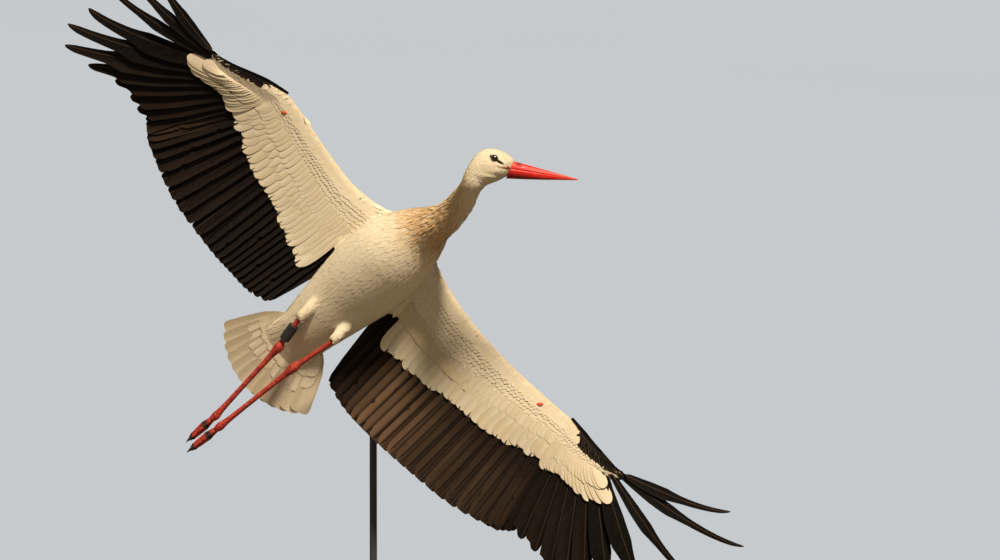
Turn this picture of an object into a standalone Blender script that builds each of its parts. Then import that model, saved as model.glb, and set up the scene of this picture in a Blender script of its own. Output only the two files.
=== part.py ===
"""A life-size white stork in a banked glide, held by a plain display stand.

Metres, +Z up. The bird is modelled in its own frame: X forward, Y to its left, Z towards its
back. Its body is banked on the stand by BODY_POSE, and its head is held level by HEAD_POSE.
The origin is the middle of the base's underside.
"""

import math
import random
from collections import namedtuple

import bmesh
import bpy
from mathutils import Matrix, Vector

GAP = 0.0003
CLEAR = 1.4 * GAP
ASIDE = Vector((0, 1, 0))
UPWARD = Vector((0, 0, 1))

# The body's place and attitude. The head stays level and looks along X.
BODY_PLACE = Vector((0.061, -0.0575, 0.880))
BANK = math.radians(90)
NOSE_ASIDE = math.radians(20)
CLIMB = math.radians(42)
LEAN_BACK = math.radians(6)
BILL_DROOP = math.radians(8)
LEANING = Matrix.Rotation(-LEAN_BACK, 4, "X")
BODY_POSE = (
    Matrix.Translation(BODY_PLACE)
    @ LEANING
    @ Matrix.Rotation(-CLIMB, 4, "Y")
    @ Matrix.Rotation(-NOSE_ASIDE, 4, "Z")
    @ Matrix.Rotation(-BANK, 4, "X")
)
HEAD_IN_BODY = Vector((0.3366, 0.0084, -0.145))
HEAD_POSE = (
    Matrix.Translation(BODY_POSE @ HEAD_IN_BODY)
    @ LEANING
    @ Matrix.Rotation(BILL_DROOP, 4, "Y")
)

# Torso and neck: forward, left, dorsal, half width, height above and below the middle line.
RUMP = (-0.300, -0.003, 0.004, 0.062, 0.024, 0.036)
VENT = (-0.250, -0.003, 0.004, 0.071, 0.034, 0.048)
FLANK = (-0.180, -0.002, 0.004, 0.083, 0.046, 0.062)
BELLY = (-0.100, 0.000, 0.002, 0.094, 0.056, 0.078)
CHEST = (-0.020, 0.002, 0.000, 0.092, 0.060, 0.086)
BREAST = (0.050, 0.008, -0.010, 0.070, 0.054, 0.072)
CROP = (0.100, 0.014, -0.032, 0.045, 0.046, 0.052)
NECK_ROOT = (0.1434, 0.022, -0.058, 0.031, 0.034, 0.036)
NECK_MIDDLE = (0.208, 0.0175, -0.090, 0.0255, 0.027, 0.027)
TORSO = (RUMP, VENT, FLANK, BELLY, CHEST, BREAST, CROP, NECK_ROOT)
BODY_SIDES = 20

# The long feathers of the crop, hung in rows round the neck's root: place along the torso's
# stations, first and last angle round it, and count.
CROP_ROWS = ((6.75, 175, 385, 8), (6.25, 160, 370, 8), (5.75, 175, 355, 7))
# The lower neck's rows: share of its length, angles round it, count.
NECK_ROWS = ((0.66, (180, 390), 6), (0.99, (201, 369), 5))
# Black feathers over the back: place, angle and length, mirrored.
SCAPULARS = ((4.25, 71, 0.110), (3.75, 60, 0.115), (3.20, 71, 0.105), (2.65, 58, 0.100))
SCAPULAR_WIDTH = 0.020
CROP_LOCK = 0.062
NECK_LOCK = 0.042
LOCK_WIDTH = 0.019
NECK_LOCK_WIDTH = 0.015
LOCK_SHAPE = ((0.0, 0.55), (0.30, 1.0), (0.70, 0.78), (1.0, 0.12))
LOCK_HEIGHTS = (-0.0035, 0.0021, 0.0047, 0.0078)
LOCK_THICKNESS = (0.0026, 0.0018, 0.0012, 0.0006)

# Head sections in the head's frame: forward, left, up, tilt of the section, half width,
# half height. The first one is where the neck joins.
NAPE = (-0.041, 0.012, -0.044, 69, 0.0245, 0.0245)
SKULL_BACK = (-0.033, 0.004, -0.0265, 60, 0.0262, 0.0285)
SKULL_MIDDLE = (-0.0185, 0.0, -0.008, 45, 0.0275, 0.0365)
CHEEK = (-0.002, 0.0, 0.005, 32, 0.0275, 0.0375)
BROW = (0.019, 0.0, 0.008, 13, 0.0240, 0.0298)
LORES = (0.030, 0.0, 0.006, 0, 0.0180, 0.0245)
FACE = (0.0382, 0.0, 0.0024, -17.8, 0.0125, 0.0202)
HEAD = (NAPE, SKULL_BACK, SKULL_MIDDLE, CHEEK, BROW, LORES, FACE)
HEAD_SIDES = 18

BILL_TIP = Vector((0.183, 0.0, -0.0025))
BILL_SIDES = 8
BILL_SHARES = (0, 0.08, 0.17, 0.33, 0.5, 0.67, 0.83, 1)
MOUTH_GAP = 0.0006
# The groove that carries the mouth's line back into the cheek, as an outline seen from above.
GAPE_OUTLINE = ((0.007, 0.0222), (0.020, 0.0200), (0.034, 0.0120), (0.045, 0.0080))
GAPE_OUTSIDE = ((0.045, 0.034), (0.007, 0.034))
GAPE_HEIGHT = 0.0010
NOSTRIL_BACK = Vector((0.0480, 0.0, 0.0135))
NOSTRIL_FRONT = Vector((0.0600, 0.0, 0.0118))
NOSTRIL_RADIUS = 0.0010
NOSTRIL_ASIDE = 0.0064

EYE_FORWARD = -0.001
EYE_UP = 0.0172
EYE_ASIDE = 0.0178
EYE_RADIUS = 0.0082
LID_RADIUS = 0.0080
LID_THICKNESS = 0.0017
LID_SETBACK = 0.0046
LID_LENGTHEN = 1.12
LID_SIDES = 16

# Each wing's leading edge from shoulder to wrist and on to the end of the hand: forward,
# outward, dorsal, the fleshy part's chord and thickness, its nose-up twist in degrees, and how
# far outward its rear lies for each metre of chord.
LEFT_ARM = (
    (0.040, 0.040, 0.030, 0.150, 0.036, 4, 0),
    (0.012, 0.130, 0.034, 0.140, 0.030, 6, 0),
    (-0.005, 0.230, 0.042, 0.130, 0.025, 9, 0.02),
    (-0.008, 0.340, 0.050, 0.118, 0.020, 12, 0.06),
    (0.000, 0.450, 0.056, 0.100, 0.017, 15, 0.15),
    (0.009, 0.524, 0.058, 0.086, 0.016, 16, 0.26),
)
LEFT_HAND = (
    (0.009, 0.524, 0.058, 0.086, 0.016, 16, 0.26),
    (0.003, 0.580, 0.060, 0.070, 0.013, 16, 0.2),
    (0.004, 0.640, 0.062, 0.048, 0.010, 14, 0.1),
    (0.008, 0.695, 0.066, 0.024, 0.007, 10, 0),
)
RIGHT_ARM = (
    (0.040, 0.040, 0.030, 0.150, 0.036, 4, 0),
    (0.014, 0.110, 0.038, 0.140, 0.030, 1, 0),
    (0.000, 0.180, 0.052, 0.130, 0.025, -2, 0.05),
    (0.002, 0.260, 0.066, 0.118, 0.020, -5, 0.12),
    (0.010, 0.350, 0.080, 0.100, 0.017, -8, 0.3),
    (0.014, 0.408, 0.088, 0.088, 0.016, -9, 0.48),
)
RIGHT_HAND = (
    (0.014, 0.408, 0.088, 0.088, 0.016, -9, 0.48),
    (-0.010, 0.470, 0.092, 0.070, 0.013, -9, 0.34),
    (-0.042, 0.540, 0.097, 0.048, 0.010, -8, 0.16),
    (-0.058, 0.595, 0.103, 0.024, 0.007, -6, 0),
)
# The trailing edge that the arm's feathers reach: forward, outward, dorsal.
LEFT_TRAIL = (
    (-0.327, 0.084, 0.011),
    (-0.346, 0.177, -0.002),
    (-0.343, 0.259, -0.012),
    (-0.325, 0.367, -0.028),
    (-0.303, 0.491, -0.031),
    (-0.264, 0.602, -0.023),
)
RIGHT_TRAIL = (
    (-0.302, 0.084, 0.012),
    (-0.340, 0.156, 0.031),
    (-0.351, 0.224, 0.050),
    (-0.359, 0.295, 0.072),
    (-0.356, 0.428, 0.108),
    (-0.316, 0.556, 0.131),
)
# How far along the big feathers the white coverts below reach, from the body to the wrist.
LEFT_REACH = (0.48, 0.42, 0.37, 0.33, 0.29)
RIGHT_REACH = (0.58, 0.48, 0.42, 0.37, 0.33)
HAND_REACH = (0.32, 0.27, 0.25, 0.26)

SECONDARIES = 17
PRIMARIES = 11
ARM_ROOT_DEPTH = 0.45
HAND_ROOT_DEPTHS = ((0, 0.66), (1, 0.10))
HAND_ROOT_HEIGHTS = ((0, 0.25), (0.6, 0.14), (1, -0.16))
ROOT_HEIGHT = 0.08
ROOT_OFFSET = 0.19
WING_CAMBER = 0.05
WING_PROFILE = (
    (0.00, 0.00),
    (0.05, 0.42),
    (0.25, 0.62),
    (0.60, 0.46),
    (1.00, 0.14),
    (1.00, -0.08),
    (0.60, -0.14),
    (0.25, -0.34),
    (0.05, -0.34),
)
ARM_BOW = 0.008
TRAIL_START = 0.06
ABOVE_EXTRA = 0.08
FIRST_INNER = 0.5
LAST_OUTER = 0.9
FIRST_PRIMARY_INNER = 0.62
FINGER_EDGES = (0.66, 0.52)
ARM_ROOTS = (0.12, 0.985)
HAND_ROOTS = (0.03, 0.93)
# The slope of each hand's rear feathers, trailing edge up, as the bird rolls.
LEFT_PITCH = -16
RIGHT_PITCH = 9
# The primaries, innermost first: directions from backward towards outward, lengths, how far
# their tips bend up, and the share of the length where a slotted blade narrows.
LEFT_FAN = (20.7, 24.1, 29.9, 36.1, 40.9, 46.5, 54.1, 64.4, 80.5, 101.0, 112.0)
RIGHT_FAN = (29.5, 32.7, 36, 40.7, 44, 47.5, 52.3, 58, 70.2, 80.7, 92.9)
LEFT_LENGTHS = (0.223, 0.231, 0.244, 0.279, 0.331, 0.377, 0.386, 0.371, 0.360, 0.363, 0.283)
RIGHT_LENGTHS = (0.294, 0.304, 0.308, 0.333, 0.391, 0.447, 0.446, 0.400, 0.392, 0.349, 0.285)
PRIMARY_RISES = (4, 4, 5, 8, 13, 22, 34, 45, 52, 56, 58)
PRIMARY_SLOTS = (0.90, 0.90, 0.90, 0.86, 0.76, 0.64, 0.54, 0.50, 0.46, 0.42, 0.40)
RISE_POWER = 2.3
LINE_STEPS = 24

# Feather blades: shares of the length with shares of the full width.
BROAD_BLADE = ((0.0, 0.34), (0.18, 0.76), (0.45, 1.0), (0.88, 1.0), (0.97, 0.78), (1.0, 0.40))
TERTIAL_BLADE = ((0.0, 0.6), (0.2, 1.2), (0.5, 1.1), (0.8, 0.7), (0.95, 0.42), (1.0, 0.2))
COVERT_BLADE = ((0.0, 0.5), (0.45, 1.0), (0.84, 0.97), (1.0, 0.42))
SLOTTED_TIP = ((0.12, 0.56), (0.55, 0.52), (0.86, 0.38), (1.0, 0.08))
SECONDARY_WIDTH = 0.044
PRIMARY_WIDTH = 0.047
COVERT_WIDTH = 0.040
HAND_COVERT_WIDTH = 0.026
ARM_COVERTS = 12
HAND_COVERTS = 6
OUTER_SHARE = 0.36
ARM_TILT = math.radians(5.5)
HAND_TILT = math.radians(12.5)
BLADE_THICKNESS = 0.00065
COVERT_OFFSET = 0.0055
HAND_COVERT_OFFSET = 0.0094

# The tail's feathers spread from one point under the rump.
TAIL_APEX = Vector((-0.187, 0.0, 0.002))
TAIL_HALF_FAN = math.radians(28)
TAIL_ROOT_REACH = 0.131
TAIL_TIP_REACH = 0.300
TAIL_ROUNDING = 0.10
TAIL_FEATHERS = 12
TAIL_WIDTH = 0.044
TAIL_TILT = math.radians(4.6)
TAIL_CORE = (
    (0.025, 0.068, 0.015, 0.024),
    (0.055, 0.074, 0.007, 0.013),
    (0.085, 0.066, 0.0025, 0.0035),
)
TAIL_COVERTS = ((7, 0.215, -0.0085, -0.010), (6, 0.195, 0.0052, 0.0065))

# Legs in the body's frame: the thigh's start, the bare shank's top, the heel, the toes' root
# and the toes' tips.
RIGHT_LEG = (
    (-0.130, -0.040, -0.052),
    (-0.264, -0.032, -0.056),
    (-0.343, -0.0157, -0.058),
    (-0.557, 0.0033, -0.064),
    (-0.650, 0.0024, -0.066),
)
LEFT_LEG = (
    (-0.125, 0.044, -0.052),
    (-0.242, 0.054, -0.058),
    (-0.349, 0.0395, -0.060),
    (-0.565, 0.027, -0.066),
    (-0.664, 0.020, -0.068),
)
THIGH_RADII = (0.034, 0.032, 0.025, 0.016, 0.012)
SHANK_RADIUS = 0.0058
HEEL_RADIUS = 0.0105
TARSUS_RADIUS = 0.0062
FOOT_ROOT_RADIUS = 0.0085
LEG_SIDES = 10
TOE_SIDES = 6
RING_LENGTH = 0.039
RING_RADIUS = 0.0115
RING_SIDES = 16
# Each toe: its place across and above the foot's line at the middle, its length share.
TOES = ((-0.0058, 0.002, 0.88), (0.0, -0.004, 1.0), (0.0058, 0.002, 0.90), (0.0, 0.009, 0.40))
TOE_RADIUS = 0.0043
ANKLE_BACK = 0.004
CLAW_SHARE = 0.86

BASE_RADIUS = 0.200
BASE_THICKNESS = 0.012
BASE_BEVEL = 0.003
ROD_RADIUS = 0.008
ROD_BEND = 0.035
ROD_BACK = 0.105
ROD_HEIGHT = 0.822
ROD_END = -0.012
ROD_SIDES = 16

SMOOTH_ANGLE = math.radians(50)

Wing = namedtuple("Wing", "side arm hand trail pitch fan lengths reach")
LEFT_FANNED = (LEFT_PITCH, LEFT_FAN, LEFT_LENGTHS, LEFT_REACH)
RIGHT_FANNED = (RIGHT_PITCH, RIGHT_FAN, RIGHT_LENGTHS, RIGHT_REACH)
LEFT_WING = Wing(1, LEFT_ARM, LEFT_HAND, LEFT_TRAIL, *LEFT_FANNED)
RIGHT_WING = Wing(-1, RIGHT_ARM, RIGHT_HAND, RIGHT_TRAIL, *RIGHT_FANNED)


def clear_scene():
    for obj in list(bpy.data.objects):
        bpy.data.objects.remove(obj)


def material(name, colour, roughness):
    made = bpy.data.materials.new(name)
    made.use_nodes = True
    shader = made.node_tree.nodes["Principled BSDF"]
    shader.inputs["Base Color"].default_value = (*colour, 1.0)
    shader.inputs["Roughness"].default_value = roughness
    return made


def spline(stations, share):
    """The Catmull-Rom value at a share from 0 to 1 of a row of number tuples."""
    last = len(stations) - 1
    place = min(max(share, 0.0), 1.0) * last
    i = min(int(place), last - 1)
    t = place - i
    before, here = stations[max(i - 1, 0)], stations[i]
    there, after = stations[i + 1], stations[min(i + 2, last)]
    values = []
    for a, b, c, d in zip(before, here, there, after):
        slope = c - a
        bend = 2 * a - 5 * b + 4 * c - d
        twist = 3 * b - a - 3 * c + d
        values.append(0.5 * (2 * b + slope * t + bend * t**2 + twist * t**3))
    return values


def steps_between(pairs, share):
    """The straight-line value at a share in rows of (share, value)."""
    for (x, a), (y, b) in zip(pairs, pairs[1:]):
        if share <= y:
            return a + (b - a) * max(share - x, 0.0) / (y - x)
    return pairs[-1][1]


def at_index(values, index):
    """The value at a whole or in-between index of a row of numbers."""
    pairs = list(enumerate(values))
    return steps_between(pairs, index)


def point_on(line, share):
    """The point at a share of a line of evenly spaced points."""
    place = min(max(share, 0.0), 1.0) * (len(line) - 1)
    i = min(int(place), len(line) - 2)
    return line[i].lerp(line[i + 1], place - i)


def oval(centre, side, up, half_width, above, below, sides):
    """Points round an egg-shaped section."""
    points = []
    for i in range(sides):
        turn = 2 * math.pi * i / sides
        height = above if math.sin(turn) > 0 else below
        across = side * (half_width * math.cos(turn))
        points.append(centre + across + up * (height * math.sin(turn)))
    return points


def outward(bm):
    """Turns the faces of a closed mesh out."""
    bmesh.ops.recalc_face_normals(bm, faces=bm.faces)
    if bm.calc_volume(signed=True) < 0:
        bmesh.ops.reverse_faces(bm, faces=bm.faces)
    return bm


def loft(rings):
    """A closed bmesh through rings of points, with flat ends."""
    bm = bmesh.new()
    loops = []
    for points in rings:
        loops.append([bm.verts.new(point) for point in points])
    count = len(loops[0])
    for near, far in zip(loops, loops[1:]):
        for i in range(count):
            j = (i + 1) % count
            bm.faces.new((near[i], near[j], far[j], far[i]))
    for loop in (loops[0], loops[-1]):
        bmesh.ops.contextual_create(bm, geom=loop)
    return outward(bm)


def rod_rings(points, radii, sides, first_way=None):
    """Round sections square to a route, the first one square to a way of its own if given."""
    rings = []
    last = len(points) - 1
    for i, (point, radius) in enumerate(zip(points, radii)):
        along = (points[min(i + 1, last)] - points[max(i - 1, 0)]).normalized()
        if first_way and i == 0:
            along = first_way
        side = along.cross(UPWARD).normalized()
        up = side.cross(along)
        rings.append(oval(point, side, up, radius, radius, radius, sides))
    return rings


def blade(middle, outs, ups, outer, inner, thick):
    """A thin closed feather blade: its middle line, ways out and up, widths and thicknesses."""
    bm = bmesh.new()
    rows = []
    for point, out, up, far, near, depth in zip(middle, outs, ups, outer, inner, thick):
        edge_out = point + out * far
        edge_in = point - out * near
        half = up * (depth / 2)
        corners = (edge_out + half, edge_in + half, edge_in - half, edge_out - half)
        rows.append([bm.verts.new(corner) for corner in corners])
    for here, there in zip(rows, rows[1:]):
        bm.faces.new((here[0], here[1], there[1]))
        bm.faces.new((here[0], there[1], there[0]))
        bm.faces.new((here[3], there[2], here[2]))
        bm.faces.new((here[3], there[3], there[2]))
        bm.faces.new((here[0], there[0], there[3], here[3]))
        bm.faces.new((here[2], there[2], there[1], here[1]))
    bm.faces.new(rows[0])
    bm.faces.new(rows[-1][::-1])
    return outward(bm)


def add_object(name, bm, look=None):
    mesh = bpy.data.meshes.new(name)
    bmesh.ops.triangulate(bm, faces=bm.faces)
    bm.to_mesh(mesh)
    bm.free()
    if look:
        mesh.materials.append(look)
    made = bpy.data.objects.new(name, mesh)
    bpy.context.scene.collection.objects.link(made)
    return made


def largest_body(bm):
    """Deletes all but the largest closed surface."""
    left = set(bm.faces)
    bodies = []
    while left:
        body = {left.pop()}
        front = list(body)
        while front:
            for edge in front.pop().edges:
                for face in edge.link_faces:
                    if face not in body:
                        body.add(face)
                        front.append(face)
        left -= body
        bodies.append(body)
    best = max(bodies, key=len)
    loose = [face for body in bodies if body is not best for face in body]
    bmesh.ops.delete(bm, geom=loose, context="FACES")


def solved(base, group, operation, solver):
    """The base united with a collection or cut by it, as a bmesh."""
    step = base.modifiers.new(operation, "BOOLEAN")
    step.operation = operation
    step.operand_type = "COLLECTION"
    step.collection = group
    step.solver = solver
    bpy.context.view_layer.update()
    graph = bpy.context.evaluated_depsgraph_get()
    joined = bpy.data.meshes.new_from_object(base.evaluated_get(graph))
    base.modifiers.clear()
    bm = bmesh.new()
    bm.from_mesh(joined)
    bpy.data.meshes.remove(joined)
    return bm


def sound(bm):
    """Whether a mesh is closed and holds a volume."""
    closed = bool(bm.faces) and all(edge.is_manifold for edge in bm.edges)
    return closed and bm.calc_volume(signed=True) > 0


def apply_boolean(base, others, operation):
    """Unites or cuts the base with a collection of closed objects, then removes them."""
    group = bpy.data.collections.new(base.name + "_pieces")
    for other in others:
        bpy.context.scene.collection.objects.unlink(other)
        group.objects.link(other)
    bpy.context.scene.collection.children.link(group)
    bm = solved(base, group, operation, "EXACT")
    if not sound(bm):
        bm.free()
        bm = solved(base, group, operation, "MANIFOLD")
    largest_body(bm)
    bm.to_mesh(base.data)
    bm.free()
    for other in list(group.objects):
        bpy.data.objects.remove(other)
    bpy.data.collections.remove(group)


def unite(base, others):
    apply_boolean(base, others, "UNION")


def cut(base, others):
    apply_boolean(base, others, "DIFFERENCE")


def body_frame(station, along):
    """The centre of a body section with its ways to the left and up."""
    up = along.cross(ASIDE).normalized()
    return Vector(station[:3]), up.cross(along).normalized(), up


def body_ring(station, along, grown=0.0):
    """A section of the torso or neck, square to the way it runs."""
    centre, side, up = body_frame(station, along)
    half_width, above, below = [size + grown for size in station[3:]]
    return oval(centre, side, up, half_width, above, below, BODY_SIDES)


def body_way(stations, share):
    """The direction of the middle line, whichever way the stations run."""
    step = 0.02
    here = Vector(spline(stations, share - step)[:3])
    there = Vector(spline(stations, share + step)[:3])
    return (there - here).normalized()


def torso_mesh(grown=0.0):
    rings = []
    steps = 2 * (len(TORSO) - 1)
    for i in range(steps + 1):
        share = i / steps
        rings.append(body_ring(spline(TORSO, share), body_way(TORSO, share), grown))
    return loft(rings)


def torso_spot(place, angle):
    """A point of the torso's surface, its way out and its way round, by station and angle."""
    share = place / (len(TORSO) - 1)
    station = spline(TORSO, share)
    centre, side, up = body_frame(station, body_way(TORSO, share))
    half_width, above, below = station[3:]
    turn = math.radians(angle)
    height = above if math.sin(turn) > 0 else below
    point = centre + side * (half_width * math.cos(turn)) + up * (height * math.sin(turn))
    normal = side * (math.cos(turn) / half_width) + up * (math.sin(turn) / height)
    return point, normal.normalized()


def lock(spots, out_lengths, sizes):
    """A feather that leaves a surface: spots with normals, and its width for each of them."""
    middle, outs, ups = [], [], []
    last = len(spots) - 1
    for i, ((point, normal), height) in enumerate(zip(spots, sizes)):
        along = (spots[min(i + 1, last)][0] - spots[max(i - 1, 0)][0]).normalized()
        middle.append(point + normal * height)
        outs.append(along.cross(normal).normalized())
        ups.append(normal)
    return blade(middle, outs, ups, out_lengths, out_lengths, LOCK_THICKNESS)


def torso_locks():
    """The hanging feathers of the crop and the long black ones over the back."""
    chance = random.Random(7)
    made = []
    for place, first, last, count in CROP_ROWS:
        for i in range(count):
            angle = first + (last - first) * i / (count - 1) + chance.uniform(-1.5, 1.5)
            length = CROP_LOCK * chance.uniform(0.92, 1.06)
            made.append(torso_lock(place, angle, length, LOCK_WIDTH))
    for place, angle, length in SCAPULARS:
        for mirrored in (angle, 180 - angle):
            made.append(torso_lock(place, mirrored, length, SCAPULAR_WIDTH))
    return made


def torso_lock(place, angle, length, width):
    start = torso_spot(place, angle)[0]
    pace = (start - torso_spot(place - 0.5, angle)[0]).length / 0.5
    spots = [torso_spot(place - share * length / pace, angle) for share, _ in LOCK_SHAPE]
    widths = [width / 2 * size for _, size in LOCK_SHAPE]
    return add_object("lock", lock(spots, widths, LOCK_HEIGHTS))


def make_torso(look):
    torso = add_object("torso", torso_mesh(), look)
    unite(torso, torso_locks())
    return torso


def head_rings(stations):
    rings = []
    for forward, left, up, tilt, half_width, half_height in stations:
        turn = math.radians(tilt)
        rise = Vector((-math.sin(turn), 0, math.cos(turn)))
        centre = Vector((forward, left, up))
        heights = (half_height, half_height)
        rings.append(oval(centre, ASIDE, rise, half_width, *heights, HEAD_SIDES))
    return rings


def match_ring(ring, target):
    """The ring's points renumbered so that they face the target's points."""
    count = len(ring)
    turns = [
        [ring[(shift + way * i) % count] for i in range(count)]
        for shift in range(count)
        for way in (1, -1)
    ]
    return min(turns, key=lambda turn: sum((a - b).length for a, b in zip(turn, target)))


def toward(ring, other, distance):
    """The ring moved square to its own plane, towards another ring."""
    centre = sum(ring, Vector()) / len(ring)
    goal = sum(other, Vector()) / len(other)
    quarter = len(ring) // 4
    normal = (ring[0] - centre).cross(ring[quarter] - centre).normalized()
    if normal.dot(goal - centre) < 0:
        normal = -normal
    return [point + normal * distance for point in ring]


def make_neck(look):
    """The neck's two halves between the torso's front end and the head's rear end."""
    start = body_ring(NECK_ROOT, body_way(TORSO, 1.0))
    to_body = BODY_POSE.inverted() @ HEAD_POSE
    nape = to_body @ Vector(NAPE[:3])
    middle_way = (nape - Vector(NECK_ROOT[:3])).normalized()
    middle = match_ring(body_ring(NECK_MIDDLE, middle_way), start)
    end = match_ring([to_body @ point for point in head_rings((NAPE,))[0]], middle)
    halves = (
        ("neck_lower", toward(start, middle, GAP), toward(middle, start, GAP / 2)),
        ("neck_upper", toward(middle, end, GAP / 2), toward(end, middle, GAP)),
    )
    made = []
    for name, near, far in halves:
        rings = [[a.lerp(b, t) for a, b in zip(near, far)] for t in (0, 0.33, 0.67, 1)]
        made.append(add_object(name, loft(rings), look))
    locks = []
    near, far = halves[0][1:]
    for share, turns, count in NECK_ROWS:
        for i in range(count):
            place = (turns[0] + (turns[1] - turns[0]) * i / (count - 1)) * BODY_SIDES / 360
            locks.append(neck_lock(near, far, share, place))
    unite(made[0], locks)
    return made


def neck_spot(near, far, share, place):
    """A point on the lower neck's surface and the way out, at a place round its rings."""
    count = len(near)
    i = math.floor(place)
    ring = [near[k % count].lerp(far[k % count], share) for k in (i, i + 1)]
    centre = sum(near, Vector()).lerp(sum(far, Vector()), share) / count
    point = ring[0].lerp(ring[1], place - i)
    return point, (point - centre).normalized()


def neck_lock(near, far, share, place):
    length = ((near[0] + near[10]) / 2 - (far[0] + far[10]) / 2).length
    shares = [share - part * NECK_LOCK / length for part, _ in LOCK_SHAPE]
    spots = [neck_spot(near, far, at, place) for at in shares]
    widths = [NECK_LOCK_WIDTH / 2 * size for _, size in LOCK_SHAPE]
    return add_object("lock", lock(spots, widths, LOCK_HEIGHTS))


def eye_mesh(side, radius):
    bm = bmesh.new()
    bmesh.ops.create_uvsphere(bm, u_segments=14, v_segments=8, radius=radius)
    bmesh.ops.translate(bm, verts=bm.verts, vec=(EYE_FORWARD, side * EYE_ASIDE, EYE_UP))
    return bm


def closed_tube(rings):
    """A closed ring-shaped body through sections that meet end to end."""
    bm = bmesh.new()
    loops = [[bm.verts.new(point) for point in points] for points in rings]
    count = len(loops[0])
    for near, far in zip(loops, loops[1:] + loops[:1]):
        for i in range(count):
            j = (i + 1) % count
            bm.faces.new((near[i], near[j], far[j], far[i]))
    return outward(bm)


def lid_mesh(side):
    """The swollen rim of the eyelids round one eye."""
    centre = Vector((EYE_FORWARD, side * (EYE_ASIDE + LID_SETBACK), EYE_UP))
    rings = []
    for i in range(LID_SIDES):
        turn = 2 * math.pi * i / LID_SIDES
        way = Vector((math.cos(turn) * LID_LENGTHEN, 0, math.sin(turn)))
        middle = centre + way * LID_RADIUS
        size = LID_THICKNESS
        rings.append(oval(middle, way.normalized(), ASIDE, size, size, size, TOE_SIDES))
    return closed_tube(rings)


def gape_mesh(side):
    """The groove that carries the mouth's line back into the cheek."""
    outline = GAPE_OUTLINE + GAPE_OUTSIDE
    rings = []
    for height in (-GAPE_HEIGHT / 2, GAPE_HEIGHT / 2):
        rings.append([Vector((forward, side * aside, height)) for forward, aside in outline])
    return loft(rings)


def make_head(look):
    steps = 2 * (len(HEAD) - 1)
    stations = [spline(HEAD, i / steps) for i in range(steps + 1)]
    head = add_object("head", loft(head_rings(stations)), look)
    unite(head, [add_object("lid", lid_mesh(side)) for side in (1, -1)])
    holes = []
    for side in (1, -1):
        holes.append(add_object("socket", eye_mesh(side, EYE_RADIUS + CLEAR)))
        holes.append(add_object("gape", gape_mesh(side)))
    cut(head, holes)
    return head


def make_bill(top, look):
    """One half of the bill, from the face to the tip, with the mouth's line between them."""
    forward, left, up, tilt, half_width, half_height = FACE
    turn = math.radians(tilt)
    rise = Vector((-math.sin(turn), 0, math.cos(turn)))
    out = Vector((math.cos(turn), 0, math.sin(turn)))
    middle = Vector((forward, left, up)) + out * GAP
    sign = 1 if top else -1
    rings = []
    for share in BILL_SHARES:
        size = 1 - share
        mouth = middle.lerp(BILL_TIP, share) - rise * (up * size)
        rising = rise.lerp(UPWARD, min(1.0, 2 * share)).normalized()
        height = (half_height + sign * -up) * (size * 0.95 + 0.05)
        width = half_width * (size * 0.93 + 0.07)
        ring = []
        for k in range(BILL_SIDES + 1):
            angle = math.pi * k / BILL_SIDES
            lift = sign * (MOUTH_GAP / 2 + height * math.sin(angle))
            ring.append(mouth + ASIDE * (width * math.cos(angle)) + rising * lift)
        rings.append(ring)
    half = add_object("bill_upper" if top else "bill_lower", loft(rings), look)
    if top:
        slits = []
        for side in (1, -1):
            aside = ASIDE * (side * NOSTRIL_ASIDE)
            route = [NOSTRIL_BACK.lerp(NOSTRIL_FRONT, t) + aside for t in (0, 0.5, 1)]
            sizes = (NOSTRIL_RADIUS * 0.6, NOSTRIL_RADIUS, NOSTRIL_RADIUS * 0.6)
            slits.append(add_object("slit", loft(rod_rings(route, sizes, TOE_SIDES))))
        cut(half, slits)
    return half


def wing_section(station, side):
    """An aerofoil section of the wing's fleshy part, from the leading edge round."""
    return [core_spot(station, back, rise, side) for back, rise in WING_PROFILE]


def core_spot(station, back, rise, side):
    """A point of a wing section, by its shares of the chord and of the thickness."""
    forward, outward_by, dorsal, chord, thick, twist, slant = station
    turn = math.radians(twist)
    x = -back * chord
    aside = side * (outward_by - slant * x)
    z = rise * thick - WING_CAMBER * chord * back**2
    return Vector((forward + x * math.cos(turn), aside, dorsal + z + x * math.sin(turn)))


def wing_core(name, stations, side, start, end, look):
    rings = []
    steps = 2 * (len(stations) - 1)
    for i in range(steps + 1):
        station = spline(stations, i / steps)
        if i == 0:
            station[1] += start
        if i == steps:
            station[1] -= end
        rings.append(wing_section(station, side))
    return add_object(name, loft(rings), look)


def core_point(stations, share, depth, rise, side):
    """The inside point of the fleshy part where a big feather starts, and its thickness."""
    station = spline(stations, share)
    return core_spot(station, depth, rise, side), station[4]


def arm_line(wing, index):
    """The middle line of an arm feather, counted from the body outward, and its root's depth."""
    share = (index + 0.5) / SECONDARIES
    first, last = ARM_ROOTS
    place = first + (last - first) * share
    root, thick = core_point(wing.arm, place, ARM_ROOT_DEPTH, ROOT_HEIGHT, wing.side)
    forward, outward_by, dorsal = spline(wing.trail, TRAIL_START + (1 - TRAIL_START) * share)
    tip = Vector((forward, wing.side * outward_by, dorsal))
    line = []
    for i in range(LINE_STEPS + 1):
        t = i / LINE_STEPS
        line.append(root.lerp(tip, t) + UPWARD * (ARM_BOW * 4 * t * (1 - t)))
    return line, thick


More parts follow.
